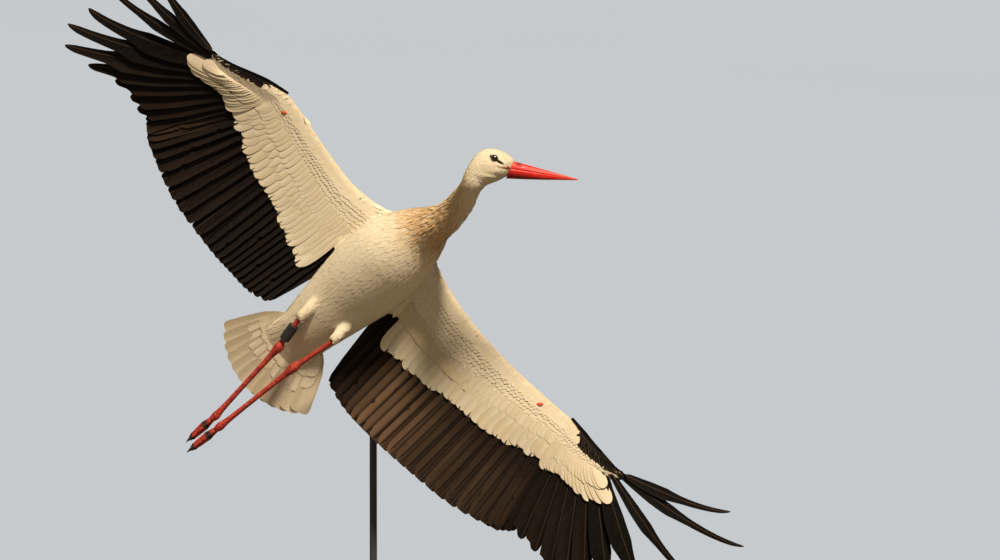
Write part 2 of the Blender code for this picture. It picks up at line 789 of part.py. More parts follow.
def hand_line(wing, index):
    """The middle line of a hand feather, counted from the wrist outward, and its root's depth."""
    share = (index + 0.5) / PRIMARIES
    first, last = HAND_ROOTS
    place = first + (last - first) * share
    depth = steps_between(HAND_ROOT_DEPTHS, share)
    height = steps_between(HAND_ROOT_HEIGHTS, share)
    point, thick = core_point(wing.hand, place, depth, height, wing.side)
    azimuth = math.radians(at_index(wing.fan, index))
    rise = math.radians(at_index(PRIMARY_RISES, index))
    pace = at_index(wing.lengths, index) / LINE_STEPS
    slope = math.radians(wing.pitch) * math.cos(azimuth)
    line = [point]
    for i in range(LINE_STEPS):
        lift = slope + rise * ((i + 0.5) / LINE_STEPS) ** RISE_POWER
        flat = math.cos(lift)
        aside = wing.side * flat * math.sin(azimuth)
        point = point + Vector((-flat * math.cos(azimuth), aside, math.sin(lift))) * pace
        line.append(point)
    return line, thick


def wing_blade(wing, lines, shape, width, tilt, edges=(1.0, 1.0)):
    """A feather on the middle one of three lines, its outer edge lifted off their surface."""
    nearer, line, further = lines
    middle, outs, ups, outer, inner = [], [], [], [], []
    for share, size in shape:
        along = (point_on(line, share + 0.03) - point_on(line, share - 0.03)).normalized()
        out = point_on(further, share) - point_on(nearer, share)
        out = (out - along * out.dot(along)).normalized()
        up = out.cross(along).normalized() * wing.side
        middle.append(point_on(line, share))
        outs.append(out * math.cos(tilt) + up * math.sin(tilt))
        ups.append(up * math.cos(tilt) - out * math.sin(tilt))
        outer.append(width * size * OUTER_SHARE * edges[0])
        inner.append(width * size * (1 - OUTER_SHARE) * edges[1])
    return blade(middle, outs, ups, outer, inner, [BLADE_THICKNESS] * len(middle))


def three_lines(wing, line_of, index):
    """A feather's own line between the lines half a feather nearer and further out."""
    return [line_of(wing, index + step)[0] for step in (-0.5, 0.0, 0.5)]


def slotted_shape(slot):
    """A blade shape that narrows at the slot's share of the length."""
    shape = [(0.0, 0.28), (slot * 0.45, 0.72), (slot, 1.0)]
    return shape + [(slot + (1 - slot) * x, size) for x, size in SLOTTED_TIP]


def covert_line(line, reach, near, far):
    """A covert's line: the first part of a big feather's line, moved off it more and more."""
    moved = []
    for i in range(LINE_STEPS + 1):
        t = i / LINE_STEPS
        moved.append(point_on(line, t * reach) + UPWARD * (near + (far - near) * min(1, 1.7 * t)))
    return moved


def coverts(wing, line_of, last_index, count, reaches, sizes, tilt, edge):
    """One tier of coverts above and one below the big feathers."""
    offset, width = sizes
    made = []
    for i in range(count):
        share = (i + 0.5) / count
        index = share * last_index
        lines = three_lines(wing, line_of, index)
        near = ROOT_OFFSET * line_of(wing, index)[1]
        edges = edge if i == count - 1 else (1.0, 1.0)
        if i == 0:
            edges = (1.0, FIRST_INNER)
        for way, reach in ((-1, reaches[0]), (1, reaches[1])):
            part = spline([(value,) for value in reach], share)[0]
            moved = [covert_line(line, part, way * near, way * offset) for line in lines]
            feather = wing_blade(wing, moved, COVERT_BLADE, width, tilt, edges)
            made.append(add_object("covert", feather))
    return made


def make_inner_wing(name, wing, look):
    core = wing_core(name, wing.arm, wing.side, 0.0, GAP / 2, look)
    made = []
    for i in range(SECONDARIES):
        edges = (LAST_OUTER if i == SECONDARIES - 1 else 1.0, 1.0)
        shape = TERTIAL_BLADE if i == 0 else BROAD_BLADE
        lines = three_lines(wing, arm_line, i)
        feather = wing_blade(wing, lines, shape, SECONDARY_WIDTH, ARM_TILT, edges)
        made.append(add_object("secondary", feather))
    above = [reach + ABOVE_EXTRA for reach in wing.reach]
    sizes = (COVERT_OFFSET, COVERT_WIDTH)
    reaches = (wing.reach, above)
    edge = (LAST_OUTER, 1.0)
    made += coverts(wing, arm_line, SECONDARIES - 1, ARM_COVERTS, reaches, sizes, ARM_TILT, edge)
    unite(core, made)
    return core


def make_outer_wing(name, wing, look):
    core = wing_core(name, wing.hand, wing.side, GAP / 2, 0.0, look)
    made = []
    for i in range(PRIMARIES):
        edges = (1.0, FIRST_PRIMARY_INNER if i == 0 else 1.0)
        if i >= PRIMARIES - 3:
            edges = FINGER_EDGES
        shape = slotted_shape(PRIMARY_SLOTS[i])
        lines = three_lines(wing, hand_line, i)
        feather = wing_blade(wing, lines, shape, PRIMARY_WIDTH, HAND_TILT, edges)
        made.append(add_object("primary", feather))
    above = [reach + ABOVE_EXTRA for reach in HAND_REACH]
    sizes = (HAND_COVERT_OFFSET, HAND_COVERT_WIDTH)
    reaches = (HAND_REACH, above)
    last = PRIMARIES - 4
    made += coverts(wing, hand_line, last, HAND_COVERTS, reaches, sizes, HAND_TILT, (1.0, 1.0))
    unite(core, made)
    return core


def tail_line(share):
    """The middle line of a tail feather, from -1 at the right edge to 1 at the left one."""
    turn = TAIL_HALF_FAN * share
    way = Vector((-math.cos(turn), math.sin(turn), 0))
    reach = TAIL_TIP_REACH * (1 - TAIL_ROUNDING * share * share)
    first = TAIL_APEX + way * TAIL_ROOT_REACH
    last = TAIL_APEX + way * reach
    return [first.lerp(last, i / LINE_STEPS) for i in range(LINE_STEPS + 1)]


def tail_blade(line, shape, width, thick=BLADE_THICKNESS):
    middle, outs, ups, widths = [], [], [], []
    for share, size in shape:
        along = (line[-1] - line[0]).normalized()
        out = UPWARD.cross(along).normalized()
        up = along.cross(out)
        if up.z < 0:
            up = -up
        middle.append(point_on(line, share))
        outs.append(out * math.cos(TAIL_TILT) + up * math.sin(TAIL_TILT))
        ups.append(up * math.cos(TAIL_TILT) - out * math.sin(TAIL_TILT))
        widths.append(width / 2 * size)
    return blade(middle, outs, ups, widths, widths, [thick] * len(middle))


def make_tail(look):
    forward, left, dorsal, half_width, above, below = RUMP
    along = body_way(TORSO, 0.0)
    rings = [[point - along * GAP for point in body_ring(RUMP, along)]]
    for back, width, high, low in TAIL_CORE:
        station = (forward - back, left, dorsal, width, high, low)
        rings.append(body_ring(station, Vector((1, 0, 0))))
    core = add_object("tail", loft(rings), look)
    made = []
    for i in range(TAIL_FEATHERS):
        line = tail_line((i + 0.5) / TAIL_FEATHERS * 2 - 1)
        made.append(add_object("rectrix", tail_blade(line, BROAD_BLADE, TAIL_WIDTH)))
    for count, tip_reach, near, far in TAIL_COVERTS:
        for i in range(count):
            line = tail_line(((i + 0.5) / count * 2 - 1) * 0.86)
            reach = (tip_reach - TAIL_ROOT_REACH) / (TAIL_TIP_REACH - TAIL_ROOT_REACH)
            line = covert_line(line, reach, near, far)
            made.append(add_object("covert", tail_blade(line, COVERT_BLADE, TAIL_WIDTH * 0.9)))
    unite(core, made)
    return core


def toe_mesh(toes, tips, along, toe):
    """One toe with its claw, bundled along the foot's line."""
    across, above, reach = toe
    side = along.cross(UPWARD).normalized()
    up = side.cross(along)
    root = toes - along * 0.001
    bulge = toes.lerp(tips, 0.45 * reach) + side * across + up * above
    end = toes.lerp(tips, reach) + side * (across * 0.7) + up * above
    knuckle = bulge.lerp(end, 0.5) - up * 0.0012
    claw = bulge.lerp(end, CLAW_SHARE)
    route = [root, root.lerp(bulge, 0.5), bulge, knuckle, claw, end - up * 0.002]
    sizes = [TOE_RADIUS * size for size in (1.0, 0.92, 0.86, 0.76, 0.50, 0.14)]
    return loft(rod_rings(route, sizes, TOE_SIDES))


def make_leg(side_name, leg, looks):
    """Feathered thigh, bare shank, tarsus with the heel, and foot."""
    hip, shank_top, heel, toes, tips = [Vector(point) for point in leg]
    feather, skin = looks
    down = (shank_top - hip).normalized()
    route = [hip.lerp(shank_top, t) for t in (0, 0.3, 0.6, 0.85, 1)]
    thigh = add_object(f"thigh_{side_name}", loft(rod_rings(route, THIGH_RADII, 12)), feather)
    along = (heel - shank_top).normalized()
    start = shank_top + down * GAP
    end = heel - along * (HEEL_RADIUS * 0.8 + GAP)
    route = [start.lerp(end, t) for t in (0, 0.5, 1)]
    rings = rod_rings(route, (SHANK_RADIUS,) * 3, LEG_SIDES, down)
    shank = add_object(f"shank_{side_name}", loft(rings), skin)
    shin = (toes - heel).normalized()
    route = [
        heel - along * HEEL_RADIUS * 0.8,
        heel - along * HEEL_RADIUS * 0.3,
        heel + shin * HEEL_RADIUS * 0.6,
        heel + shin * 0.028,
        heel.lerp(toes, 0.5),
        toes - shin * 0.02,
        toes - shin * ANKLE_BACK,
    ]
    sizes = (0.0075, HEEL_RADIUS, HEEL_RADIUS * 0.95, TARSUS_RADIUS * 1.08)
    sizes += (TARSUS_RADIUS * 0.92, TARSUS_RADIUS, FOOT_ROOT_RADIUS)
    tarsus = add_object(f"tarsus_{side_name}", loft(rod_rings(route, sizes, LEG_SIDES)), skin)
    way = (tips - toes).normalized()
    first = toes - shin * (ANKLE_BACK - GAP)
    route = [first, toes + way * 0.004, toes + way * 0.014]
    sizes = (FOOT_ROOT_RADIUS, 0.0092, 0.0055)
    foot = add_object(f"foot_{side_name}", loft(rod_rings(route, sizes, LEG_SIDES, shin)), skin)
    unite(foot, [add_object("toe", toe_mesh(toes, tips, way, toe)) for toe in TOES])
    return thigh, shank, tarsus, foot


def make_ring(leg, look):
    """The plain black ring round the right shank."""
    shank_top, heel = Vector(leg[1]), Vector(leg[2])
    along = (heel - shank_top).normalized()
    middle = shank_top.lerp(heel, 0.5)
    ends = (middle - along * RING_LENGTH / 2, middle + along * RING_LENGTH / 2)
    inner = SHANK_RADIUS + CLEAR
    side = along.cross(UPWARD).normalized()
    up = side.cross(along)
    rings = []
    for centre, radius in ((0, RING_RADIUS), (1, RING_RADIUS), (1, inner), (0, inner)):
        rings.append(oval(ends[centre], side, up, radius, radius, radius, RING_SIDES))
    return add_object("leg_ring", closed_tube(rings), look)


def rod_mesh(grown=0.0):
    """The stand's rod: up from the base, bent forward at the top, into the bird's back."""
    route = [Vector((0, ROD_BACK, BASE_THICKNESS + GAP))]
    turns = 8
    for i in range(turns + 1):
        turn = math.pi / 2 * i / turns
        y = ROD_BACK - ROD_BEND * (1 - math.cos(turn))
        z = ROD_HEIGHT - ROD_BEND * (1 - math.sin(turn))
        route.append(Vector((0, y, z)))
    route.append(Vector((0, ROD_END - grown, ROD_HEIGHT)))
    rings = []
    last = len(route) - 1
    side = Vector((1, 0, 0))
    radius = ROD_RADIUS + grown
    for i, point in enumerate(route):
        along = (route[min(i + 1, last)] - route[max(i - 1, 0)]).normalized()
        rings.append(oval(point, side, side.cross(along), radius, radius, radius, ROD_SIDES))
    return loft(rings)


def make_stand(look):
    bm = bmesh.new()
    bmesh.ops.create_cone(
        bm,
        cap_ends=True,
        segments=48,
        radius1=BASE_RADIUS,
        radius2=BASE_RADIUS,
        depth=BASE_THICKNESS,
    )
    bmesh.ops.translate(bm, verts=bm.verts, vec=(0, 0, BASE_THICKNESS / 2))
    top = BASE_THICKNESS * 0.9
    rim = [edge for edge in bm.edges if min(vert.co.z for vert in edge.verts) > top]
    bmesh.ops.bevel(bm, geom=rim, offset=BASE_BEVEL, segments=2, profile=0.5, affect="EDGES")
    add_object("stand_base", bm, look)
    add_object("stand_rod", rod_mesh(), look)


def main():
    clear_scene()
    white = material("white_feather", (0.82, 0.74, 0.60), 0.8)
    black = material("black_feather", (0.02, 0.02, 0.022), 0.6)
    red = material("red_horn", (0.72, 0.06, 0.03), 0.45)
    red_skin = material("red_leg_skin", (0.55, 0.05, 0.03), 0.6)
    eye_black = material("dark_eye", (0.02, 0.015, 0.015), 0.1)
    ring_black = material("ring_plastic", (0.02, 0.02, 0.02), 0.4)
    metal = material("stand_paint", (0.05, 0.05, 0.055), 0.5)

    torso = make_torso(white)
    in_body = [torso, *make_neck(white), make_tail(white)]
    for side_name, wing in (("left", LEFT_WING), ("right", RIGHT_WING)):
        inner = make_inner_wing(f"inner_wing_{side_name}", wing, white)
        cut(inner, [add_object("torso_grown", torso_mesh(CLEAR))])
        in_body += [inner, make_outer_wing(f"outer_wing_{side_name}", wing, black)]
    for side_name, leg in (("right", RIGHT_LEG), ("left", LEFT_LEG)):
        thigh, *bare = make_leg(side_name, leg, (white, red_skin))
        cut(thigh, [add_object("torso_grown", torso_mesh(CLEAR))])
        in_body += [thigh, *bare]
    in_body.append(make_ring(RIGHT_LEG, ring_black))
    for obj in in_body:
        obj.matrix_world = BODY_POSE

    in_head = [make_head(white), make_bill(True, red), make_bill(False, red)]
    for side_name, side in (("left", 1), ("right", -1)):
        in_head.append(add_object(f"eye_{side_name}", eye_mesh(side, EYE_RADIUS), eye_black))
    for obj in in_head:
        obj.matrix_world = HEAD_POSE

    bpy.context.view_layer.update()
    cut(torso, [add_object("rod_grown", rod_mesh(CLEAR))])
    make_stand(metal)
    for obj in bpy.context.scene.objects:
        obj.data.shade_smooth()
        obj.data.set_sharp_from_angle(angle=SMOOTH_ANGLE)


main()
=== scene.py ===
"""A life-size white stork in a banked glide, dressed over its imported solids.

Metres, +Z up. The bird is shaped in its own frame, X forward, Y to its left and Z towards its
back, and set on the stand by BODY_POSE. Its head is held level by HEAD_POSE.
"""

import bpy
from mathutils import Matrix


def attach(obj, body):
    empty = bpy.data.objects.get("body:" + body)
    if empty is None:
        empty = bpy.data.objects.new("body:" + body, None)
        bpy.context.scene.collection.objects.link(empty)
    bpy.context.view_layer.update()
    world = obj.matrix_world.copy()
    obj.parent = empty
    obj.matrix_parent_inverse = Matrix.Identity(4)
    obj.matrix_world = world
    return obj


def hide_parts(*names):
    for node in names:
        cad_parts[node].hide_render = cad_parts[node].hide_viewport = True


bl_info = {
    "name": "White stork in flight",
    "version": (1, 0, 0),
    "blender": (4, 5, 0),
    "location": "3D View > Sidebar > Stork",
    "description": "Makes a gliding white stork with its coat of feathers, and a plain stage",
    "category": "Object",
}

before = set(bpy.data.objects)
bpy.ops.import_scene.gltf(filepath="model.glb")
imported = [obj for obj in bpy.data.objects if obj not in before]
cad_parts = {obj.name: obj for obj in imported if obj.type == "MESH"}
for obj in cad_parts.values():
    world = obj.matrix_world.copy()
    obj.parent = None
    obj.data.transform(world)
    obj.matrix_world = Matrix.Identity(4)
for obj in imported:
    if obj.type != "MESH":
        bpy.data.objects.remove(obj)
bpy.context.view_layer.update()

import math
import random
from collections import namedtuple

import bmesh
import bpy
import numpy as np
from mathutils import Matrix, Vector
from mathutils.bvhtree import BVHTree

ASIDE = Vector((0, 1, 0))
UPWARD = Vector((0, 0, 1))

# The body's place and attitude. The head stays level and looks along X.
BODY_PLACE = Vector((0.061, -0.0575, 0.880))
BANK = math.radians(90)
NOSE_ASIDE = math.radians(20)
CLIMB = math.radians(42)
LEAN_BACK = math.radians(6)
BILL_DROOP = math.radians(8)
LEANING = Matrix.Rotation(-LEAN_BACK, 4, "X")
BODY_POSE = (
    Matrix.Translation(BODY_PLACE)
    @ LEANING
    @ Matrix.Rotation(-CLIMB, 4, "Y")
    @ Matrix.Rotation(-NOSE_ASIDE, 4, "Z")
    @ Matrix.Rotation(-BANK, 4, "X")
)
HEAD_IN_BODY = Vector((0.3366, 0.0084, -0.145))
HEAD_POSE = (
    Matrix.Translation(BODY_POSE @ HEAD_IN_BODY)
    @ LEANING
    @ Matrix.Rotation(BILL_DROOP, 4, "Y")
)

# Torso and neck: forward, left, dorsal, half width, height above and below the middle line.
TORSO = (
    (-0.3, -0.003, 0.004, 0.062, 0.024, 0.036),
    (-0.25, -0.003, 0.004, 0.071, 0.034, 0.048),
    (-0.18, -0.002, 0.004, 0.083, 0.046, 0.062),
    (-0.1, 0.000, 0.002, 0.094, 0.056, 0.078),
    (-0.02, 0.002, 0.000, 0.092, 0.06, 0.086),
    (0.05, 0.008, -0.01, 0.07, 0.054, 0.072),
    (0.1, 0.014, -0.032, 0.045, 0.046, 0.052),
    (0.1434, 0.022, -0.058, 0.031, 0.034, 0.036),
)
NECK_MIDDLE = (0.208, 0.0175, -0.09)
NECK_RADII = (0.036, 0.0325, 0.0265, 0.0245, 0.025)
# The tail's root: forward, left, dorsal, half width, height above and below the middle line.
TAIL_CORE = (
    (-0.325, -0.003, 0.004, 0.066, 0.014, 0.022),
    (-0.36, -0.003, 0.004, 0.07, 0.006, 0.01),
    (-0.385, -0.003, 0.004, 0.062, 0.002, 0.003),
)
BODY_INSET = 0.0022
CORE_FULLNESS = 0.86
SKIN_VOXEL = 0.0034
SMOOTHINGS = 10

# Head sections: forward, left, up, tilt of the section, half width, half height.
HEAD = (
    (-0.041, 0.012, -0.044, 69, 0.0245, 0.0245),
    (-0.033, 0.004, -0.0265, 60, 0.0262, 0.0285),
    (-0.0185, 0.0, -0.008, 45, 0.0275, 0.0365),
    (-0.002, 0.0, 0.005, 32, 0.0275, 0.0375),
    (0.019, 0.0, 0.008, 13, 0.024, 0.0298),
    (0.03, 0.0, 0.006, 0, 0.018, 0.0245),
    (0.0382, 0.0, 0.0024, -17.8, 0.0125, 0.0202),
)
HEAD_INSET = 0.001
BILL_TIP = Vector((0.183, 0.0, -0.0025))
EYE_PLACE = Vector((-0.001, 0.0188, 0.0172))
EYE_RADIUS = 0.0082
PATCH_SLOPE = math.radians(-24)
LID_OPENING = 0.0064
SOCKET_RADIUS = 0.008
SOCKET_DEPTH = 0.007
SOCKET_ASIDE = (0.012, 0.04)
# Rings of the lids: share of the way out over the bare skin, and height above the head.
LID_RINGS = (
    (0.0, 0.0001),
    (0.3, 0.001),
    (0.55, 0.0017),
    (0.8, 0.0015),
    (0.95, 0.0009),
    (1.03, -0.0002),
    (0.9, -0.0012),
    (0.4, -0.0012),
)
# The mouth's line on the cheek: forward, up and half width.
GAPE = (
    (0.04, 0.0002, 0.0013),
    (0.034, 0.0006, 0.0013),
    (0.027, 0.0009, 0.0011),
    (0.019, 0.0004, 0.0009),
    (0.01, -0.0014, 0.0004),
)

# Flesh of the wings: forward, outward, dorsal, chord, thickness, twist in degrees, and slant.
LEFT_ARM = (
    (0.04, 0.04, 0.03, 0.15, 0.036, 4, 0),
    (0.012, 0.13, 0.034, 0.14, 0.03, 6, 0),
    (-0.005, 0.23, 0.042, 0.13, 0.025, 9, 0.02),
    (-0.008, 0.34, 0.05, 0.118, 0.02, 12, 0.06),
    (0.000, 0.45, 0.056, 0.1, 0.017, 15, 0.15),
    (0.009, 0.524, 0.058, 0.086, 0.016, 16, 0.26),
)
LEFT_HAND = (
    LEFT_ARM[-1],
    (0.003, 0.58, 0.06, 0.07, 0.013, 16, 0.2),
    (0.004, 0.64, 0.062, 0.048, 0.01, 14, 0.1),
    (0.008, 0.695, 0.066, 0.024, 0.007, 10, 0),
)
RIGHT_ARM = (
    (0.04, 0.04, 0.03, 0.15, 0.036, 4, 0),
    (0.014, 0.11, 0.038, 0.14, 0.03, 1, 0),
    (0.000, 0.18, 0.052, 0.13, 0.025, -2, 0.05),
    (0.002, 0.26, 0.066, 0.118, 0.02, -5, 0.12),
    (0.01, 0.35, 0.08, 0.1, 0.017, -8, 0.3),
    (0.014, 0.408, 0.088, 0.088, 0.016, -9, 0.48),
)
RIGHT_HAND = (
    RIGHT_ARM[-1],
    (-0.01, 0.47, 0.092, 0.07, 0.013, -9, 0.34),
    (-0.042, 0.54, 0.097, 0.048, 0.01, -8, 0.16),
    (-0.058, 0.595, 0.103, 0.024, 0.007, -6, 0),
)
# Tips of the arm's feathers, from the body outward.
LEFT_TRAIL = (
    (-0.327, 0.084, 0.011),
    (-0.346, 0.177, -0.002),
    (-0.343, 0.259, -0.012),
    (-0.325, 0.367, -0.028),
    (-0.303, 0.491, -0.031),
    (-0.264, 0.602, -0.023),
)
RIGHT_TRAIL = (
    (-0.302, 0.084, 0.012),
    (-0.34, 0.156, 0.031),
    (-0.351, 0.224, 0.05),
    (-0.359, 0.295, 0.072),
    (-0.356, 0.428, 0.108),
    (-0.316, 0.556, 0.131),
)
# How far the longest coverts reach along the feathers that they lie on.
LEFT_REACH = (0.48, 0.42, 0.37, 0.33, 0.29)
RIGHT_REACH = (0.58, 0.48, 0.42, 0.37, 0.33)
HAND_REACH = (0.32, 0.27, 0.25, 0.26)

# Feathers of the arm in the solids, and as many as the scene shows.
SECONDARIES = 17
SECONDARIES_SHOWN = 21
WRIST_FEATHERS = 2
PRIMARIES = 11
ARM_ROOT_DEPTH = 0.45
HAND_ROOT_DEPTHS = ((0, 0.66), (1, 0.1))
HAND_ROOT_HEIGHTS = ((0, 0.25), (0.6, 0.14), (1, -0.16))
ROOT_HEIGHT = 0.08
WING_CAMBER = 0.05
UPPER_PROFILE = ((0, 0), (0.02, 0.26), (0.05, 0.42), (0.25, 0.62), (0.6, 0.46), (1, 0.12))
LOWER_PROFILE = ((0, 0), (0.02, -0.2), (0.05, -0.3), (0.25, -0.34), (0.6, -0.14), (1, -0.06))
ARM_BOW = 0.008
TRAIL_START = 0.06
ARM_ROOTS = (0.12, 0.985)
HAND_ROOTS = (0.03, 0.93)
LEFT_PITCH = -16
RIGHT_PITCH = 9
LEFT_FAN = (20.7, 24.1, 29.9, 36.1, 40.9, 46.5, 54.1, 64.4, 80.5, 101.0, 112.0)
RIGHT_FAN = (29.5, 32.7, 36, 40.7, 44, 47.5, 52.3, 58, 70.2, 80.7, 92.9)
LEFT_LENGTHS = (0.223, 0.231, 0.244, 0.279, 0.331, 0.377, 0.386, 0.371, 0.36, 0.363, 0.283)
RIGHT_LENGTHS = (0.294, 0.304, 0.308, 0.333, 0.391, 0.447, 0.446, 0.4, 0.392, 0.349, 0.285)
PRIMARY_RISES = (4, 4, 5, 8, 13, 22, 34, 45, 52, 56, 58)
PRIMARY_SLOTS = (0.9, 0.9, 0.9, 0.86, 0.76, 0.64, 0.54, 0.5, 0.46, 0.42, 0.4)
RISE_POWER = 2.3
LINE_STEPS = 24
OUTER_SHARE = 0.36
ARM_TILT = math.radians(5.5)
HAND_TILT = math.radians(12.5)
FINGER_EDGES = (0.66, 0.52)

TAIL_APEX = Vector((-0.187, 0.0, 0.002))
TAIL_HALF_FAN = math.radians(28)
TAIL_ROOT_REACH = 0.131
TAIL_TIP_REACH = 0.3
TAIL_ROUNDING = 0.1
TAIL_FEATHERS = 12
TAIL_TILT = math.radians(4.6)

RIGHT_LEG = (
    (-0.13, -0.04, -0.006),
    (-0.264, -0.032, -0.056),
    (-0.343, -0.0157, -0.058),
    (-0.557, 0.0033, -0.064),
    (-0.65, 0.0024, -0.066),
)
LEFT_LEG = (
    (-0.125, 0.044, -0.002),
    (-0.242, 0.054, -0.058),
    (-0.349, 0.0395, -0.06),
    (-0.565, 0.027, -0.066),
    (-0.664, 0.02, -0.068),
)
THIGH_RADII = (0.004, 0.0065, 0.01, 0.0119, 0.0096)
HEEL_RADIUS = 0.0105
# Toes: aside, upward, and share of the foot's length.
TOES = ((-0.0058, 0.002, 0.88), (0.0, -0.004, 1.0), (0.0058, 0.002, 0.9), (0.0, 0.009, 0.4))
TOE_RADIUS = 0.0043

# Shapes of feathers: share of the length, and share of the full width there.
BROAD = ((0, 0.3), (0.1, 0.62), (0.3, 0.93), (0.55, 1), (0.93, 1), (0.985, 0.82), (1, 0.5))
OVAL = ((0, 0.45), (0.25, 0.85), (0.55, 1.0), (0.8, 0.9), (0.93, 0.62), (1.0, 0.18))
BROAD_OVAL = ((0, 0.6), (0.3, 0.9), (0.6, 1), (0.85, 0.97), (0.94, 0.8), (0.985, 0.5), (1, 0.2))
COVERT = ((0, 0.6), (0.3, 0.92), (0.6, 1), (0.8, 0.93), (0.91, 0.74), (0.975, 0.44), (1, 0.16))
POINTED = ((0, 0.5), (0.3, 1.0), (0.6, 0.8), (0.85, 0.42), (1.0, 0.05))
TERTIAL = ((0, 0.6), (0.2, 1.2), (0.5, 1.1), (0.8, 0.7), (0.95, 0.42), (1, 0.2))
FINGER_TIP = ((0.1, 0.8), (0.25, 0.6), (0.5, 0.48), (0.8, 0.36), (0.95, 0.2), (1, 0.06))

# Sections round a feather, edge to edge over the top and back below: across, height.
SMALL_SECTION = ((1, 0), (0, 1), (-1, 0), (0, -1))
LARGE_SECTION = (
    (1, 0.25), (0.5, 0.5), (0.05, 0.8), (-0.05, 0.8), (-0.5, 0.5), (-1, 0.25),
    (-1, -0.25), (-0.5, -0.5), (-0.05, -2.6), (0.05, -2.6), (0.5, -0.5), (1, -0.25),
)

SHARP_EDGE = math.radians(40)

Wing = namedtuple("Wing", "side arm hand trail reach pitch fan lengths")
LEFT_PARTS = (LEFT_ARM, LEFT_HAND, LEFT_TRAIL, LEFT_REACH)
RIGHT_PARTS = (RIGHT_ARM, RIGHT_HAND, RIGHT_TRAIL, RIGHT_REACH)
LEFT_WING = Wing(1, *LEFT_PARTS, LEFT_PITCH, LEFT_FAN, LEFT_LENGTHS)
RIGHT_WING = Wing(-1, *RIGHT_PARTS, RIGHT_PITCH, RIGHT_FAN, RIGHT_LENGTHS)
WINGS = (("left", LEFT_WING), ("right", RIGHT_WING))
LINE_SHARES = [i / LINE_STEPS for i in range(LINE_STEPS + 1)]
MIDDLE_THREE = (-0.5, 0.0, 0.5)


def spline(stations, share):
    """The Catmull-Rom value at a share from 0 to 1 of a row of number tuples."""
    last = len(stations) - 1
    place = min(max(share, 0.0), 1.0) * last
    i = min(int(place), last - 1)
    t = place - i
    before, here = stations[max(i - 1, 0)], stations[i]
    there, after = stations[i + 1], stations[min(i + 2, last)]
    values = []
    for a, b, c, d in zip(before, here, there, after):
        bend = 2 * a - 5 * b + 4 * c - d
        twist = 3 * b - a - 3 * c + d
        values.append(0.5 * (2 * b + (c - a) * t + bend * t**2 + twist * t**3))
    return values


def steps_between(pairs, share):
    """The straight-line value at a share in rows of (share, value)."""
    for (x, a), (y, b) in zip(pairs, pairs[1:]):
        if share <= y:
            return a + (b - a) * max(share - x, 0.0) / (y - x)
    return pairs[-1][1]


def at_index(values, index):
    return steps_between(list(enumerate(values)), index)


def within(span, share):
    first, last = span
    return first + (last - first) * share


def point_on(line, share):
    """The point at a share of a line of evenly spaced points."""
    place = min(max(share, 0.0), 1.0) * (len(line) - 1)
    i = min(int(place), len(line) - 2)
    return line[i].lerp(line[i + 1], place - i)


def core_spot(station, back, rise, side):
    """A point of a wing section, by its shares of the chord and of the thickness."""
    forward, outward_by, dorsal, chord, thick, twist, slant = station
    turn = math.radians(twist)
    x = -back * chord
    aside = side * (outward_by - slant * x)
    z = rise * thick - WING_CAMBER * chord * back**2
    return Vector((forward + x * math.cos(turn), aside, dorsal + z + x * math.sin(turn)))


def bowed(start, end, bow):
    """Evenly spaced points between two, bowed towards the back."""
    return [start.lerp(end, t) + UPWARD * (bow * 4 * t * (1 - t)) for t in LINE_SHARES]


def arm_line(wing, index):
    """The middle line of an arm feather, counted from the body outward."""
    share = (index + 0.5) / SECONDARIES
    station = spline(wing.arm, within(ARM_ROOTS, share))
    root = core_spot(station, ARM_ROOT_DEPTH, ROOT_HEIGHT, wing.side)
    forward, outward_by, dorsal = spline(wing.trail, TRAIL_START + (1 - TRAIL_START) * share)
    return bowed(root, Vector((forward, wing.side * outward_by, dorsal)), ARM_BOW)


def hand_line(wing, index):
    """The middle line of a hand feather, counted from the wrist outward."""
    share = (index + 0.5) / PRIMARIES
    station = spline(wing.hand, within(HAND_ROOTS, share))
    depth = steps_between(HAND_ROOT_DEPTHS, share)
    height = steps_between(HAND_ROOT_HEIGHTS, share)
    point = core_spot(station, depth, height, wing.side)
    azimuth = math.radians(at_index(wing.fan, index))
    rise = math.radians(at_index(PRIMARY_RISES, index))
    slope = math.radians(wing.pitch) * math.cos(azimuth)
    pace = at_index(wing.lengths, index) / LINE_STEPS
    line = [point]
    for i in range(LINE_STEPS):
        lift = slope + rise * ((i + 0.5) / LINE_STEPS) ** RISE_POWER
        flat = math.cos(lift)
        aside = wing.side * flat * math.sin(azimuth)
        point = point + Vector((-flat * math.cos(azimuth), aside, math.sin(lift))) * pace
        line.append(point)
    return line


# Shaping with bmesh.


def unit_ring(bm, sides):
    """The vertices of a circle, for the caller to put in place."""
    return bmesh.ops.create_circle(bm, segments=sides, radius=1.0)["verts"]


def edges_of(verts):
    return list({edge for vert in verts for edge in vert.link_edges})


def close_tube(bm, loops):
    """Bridges loops of edges in their order and closes both ends."""
    for near, far in zip(loops, loops[1:]):
        bmesh.ops.bridge_loops(bm, edges=near + far)
    for loop in (loops[0], loops[-1]):
        bmesh.ops.contextual_create(bm, geom=loop)


def add_tube(bm, sections, sides):
    """A closed body through egg-shaped sections of centre, side, up and sizes."""
    loops = []
    for centre, side, up, (half_width, above, below) in sections:
        made = unit_ring(bm, sides)
        for vert in made:
            across, high = vert.co.x, vert.co.y
            height = above if high > 0 else below
            vert.co = centre + side * (across * half_width) + up * (high * height)
        loops.append(edges_of(made))
    close_tube(bm, loops)


def rod_sections(points, radii):
    """Round sections square to a route."""
    sections = []
    last = len(points) - 1
    for i, (point, radius) in enumerate(zip(points, radii)):
        along = (points[min(i + 1, last)] - points[max(i - 1, 0)]).normalized()
        side = along.cross(UPWARD).normalized()
        sections.append((point, side, side.cross(along), (radius, radius, radius)))
    return sections


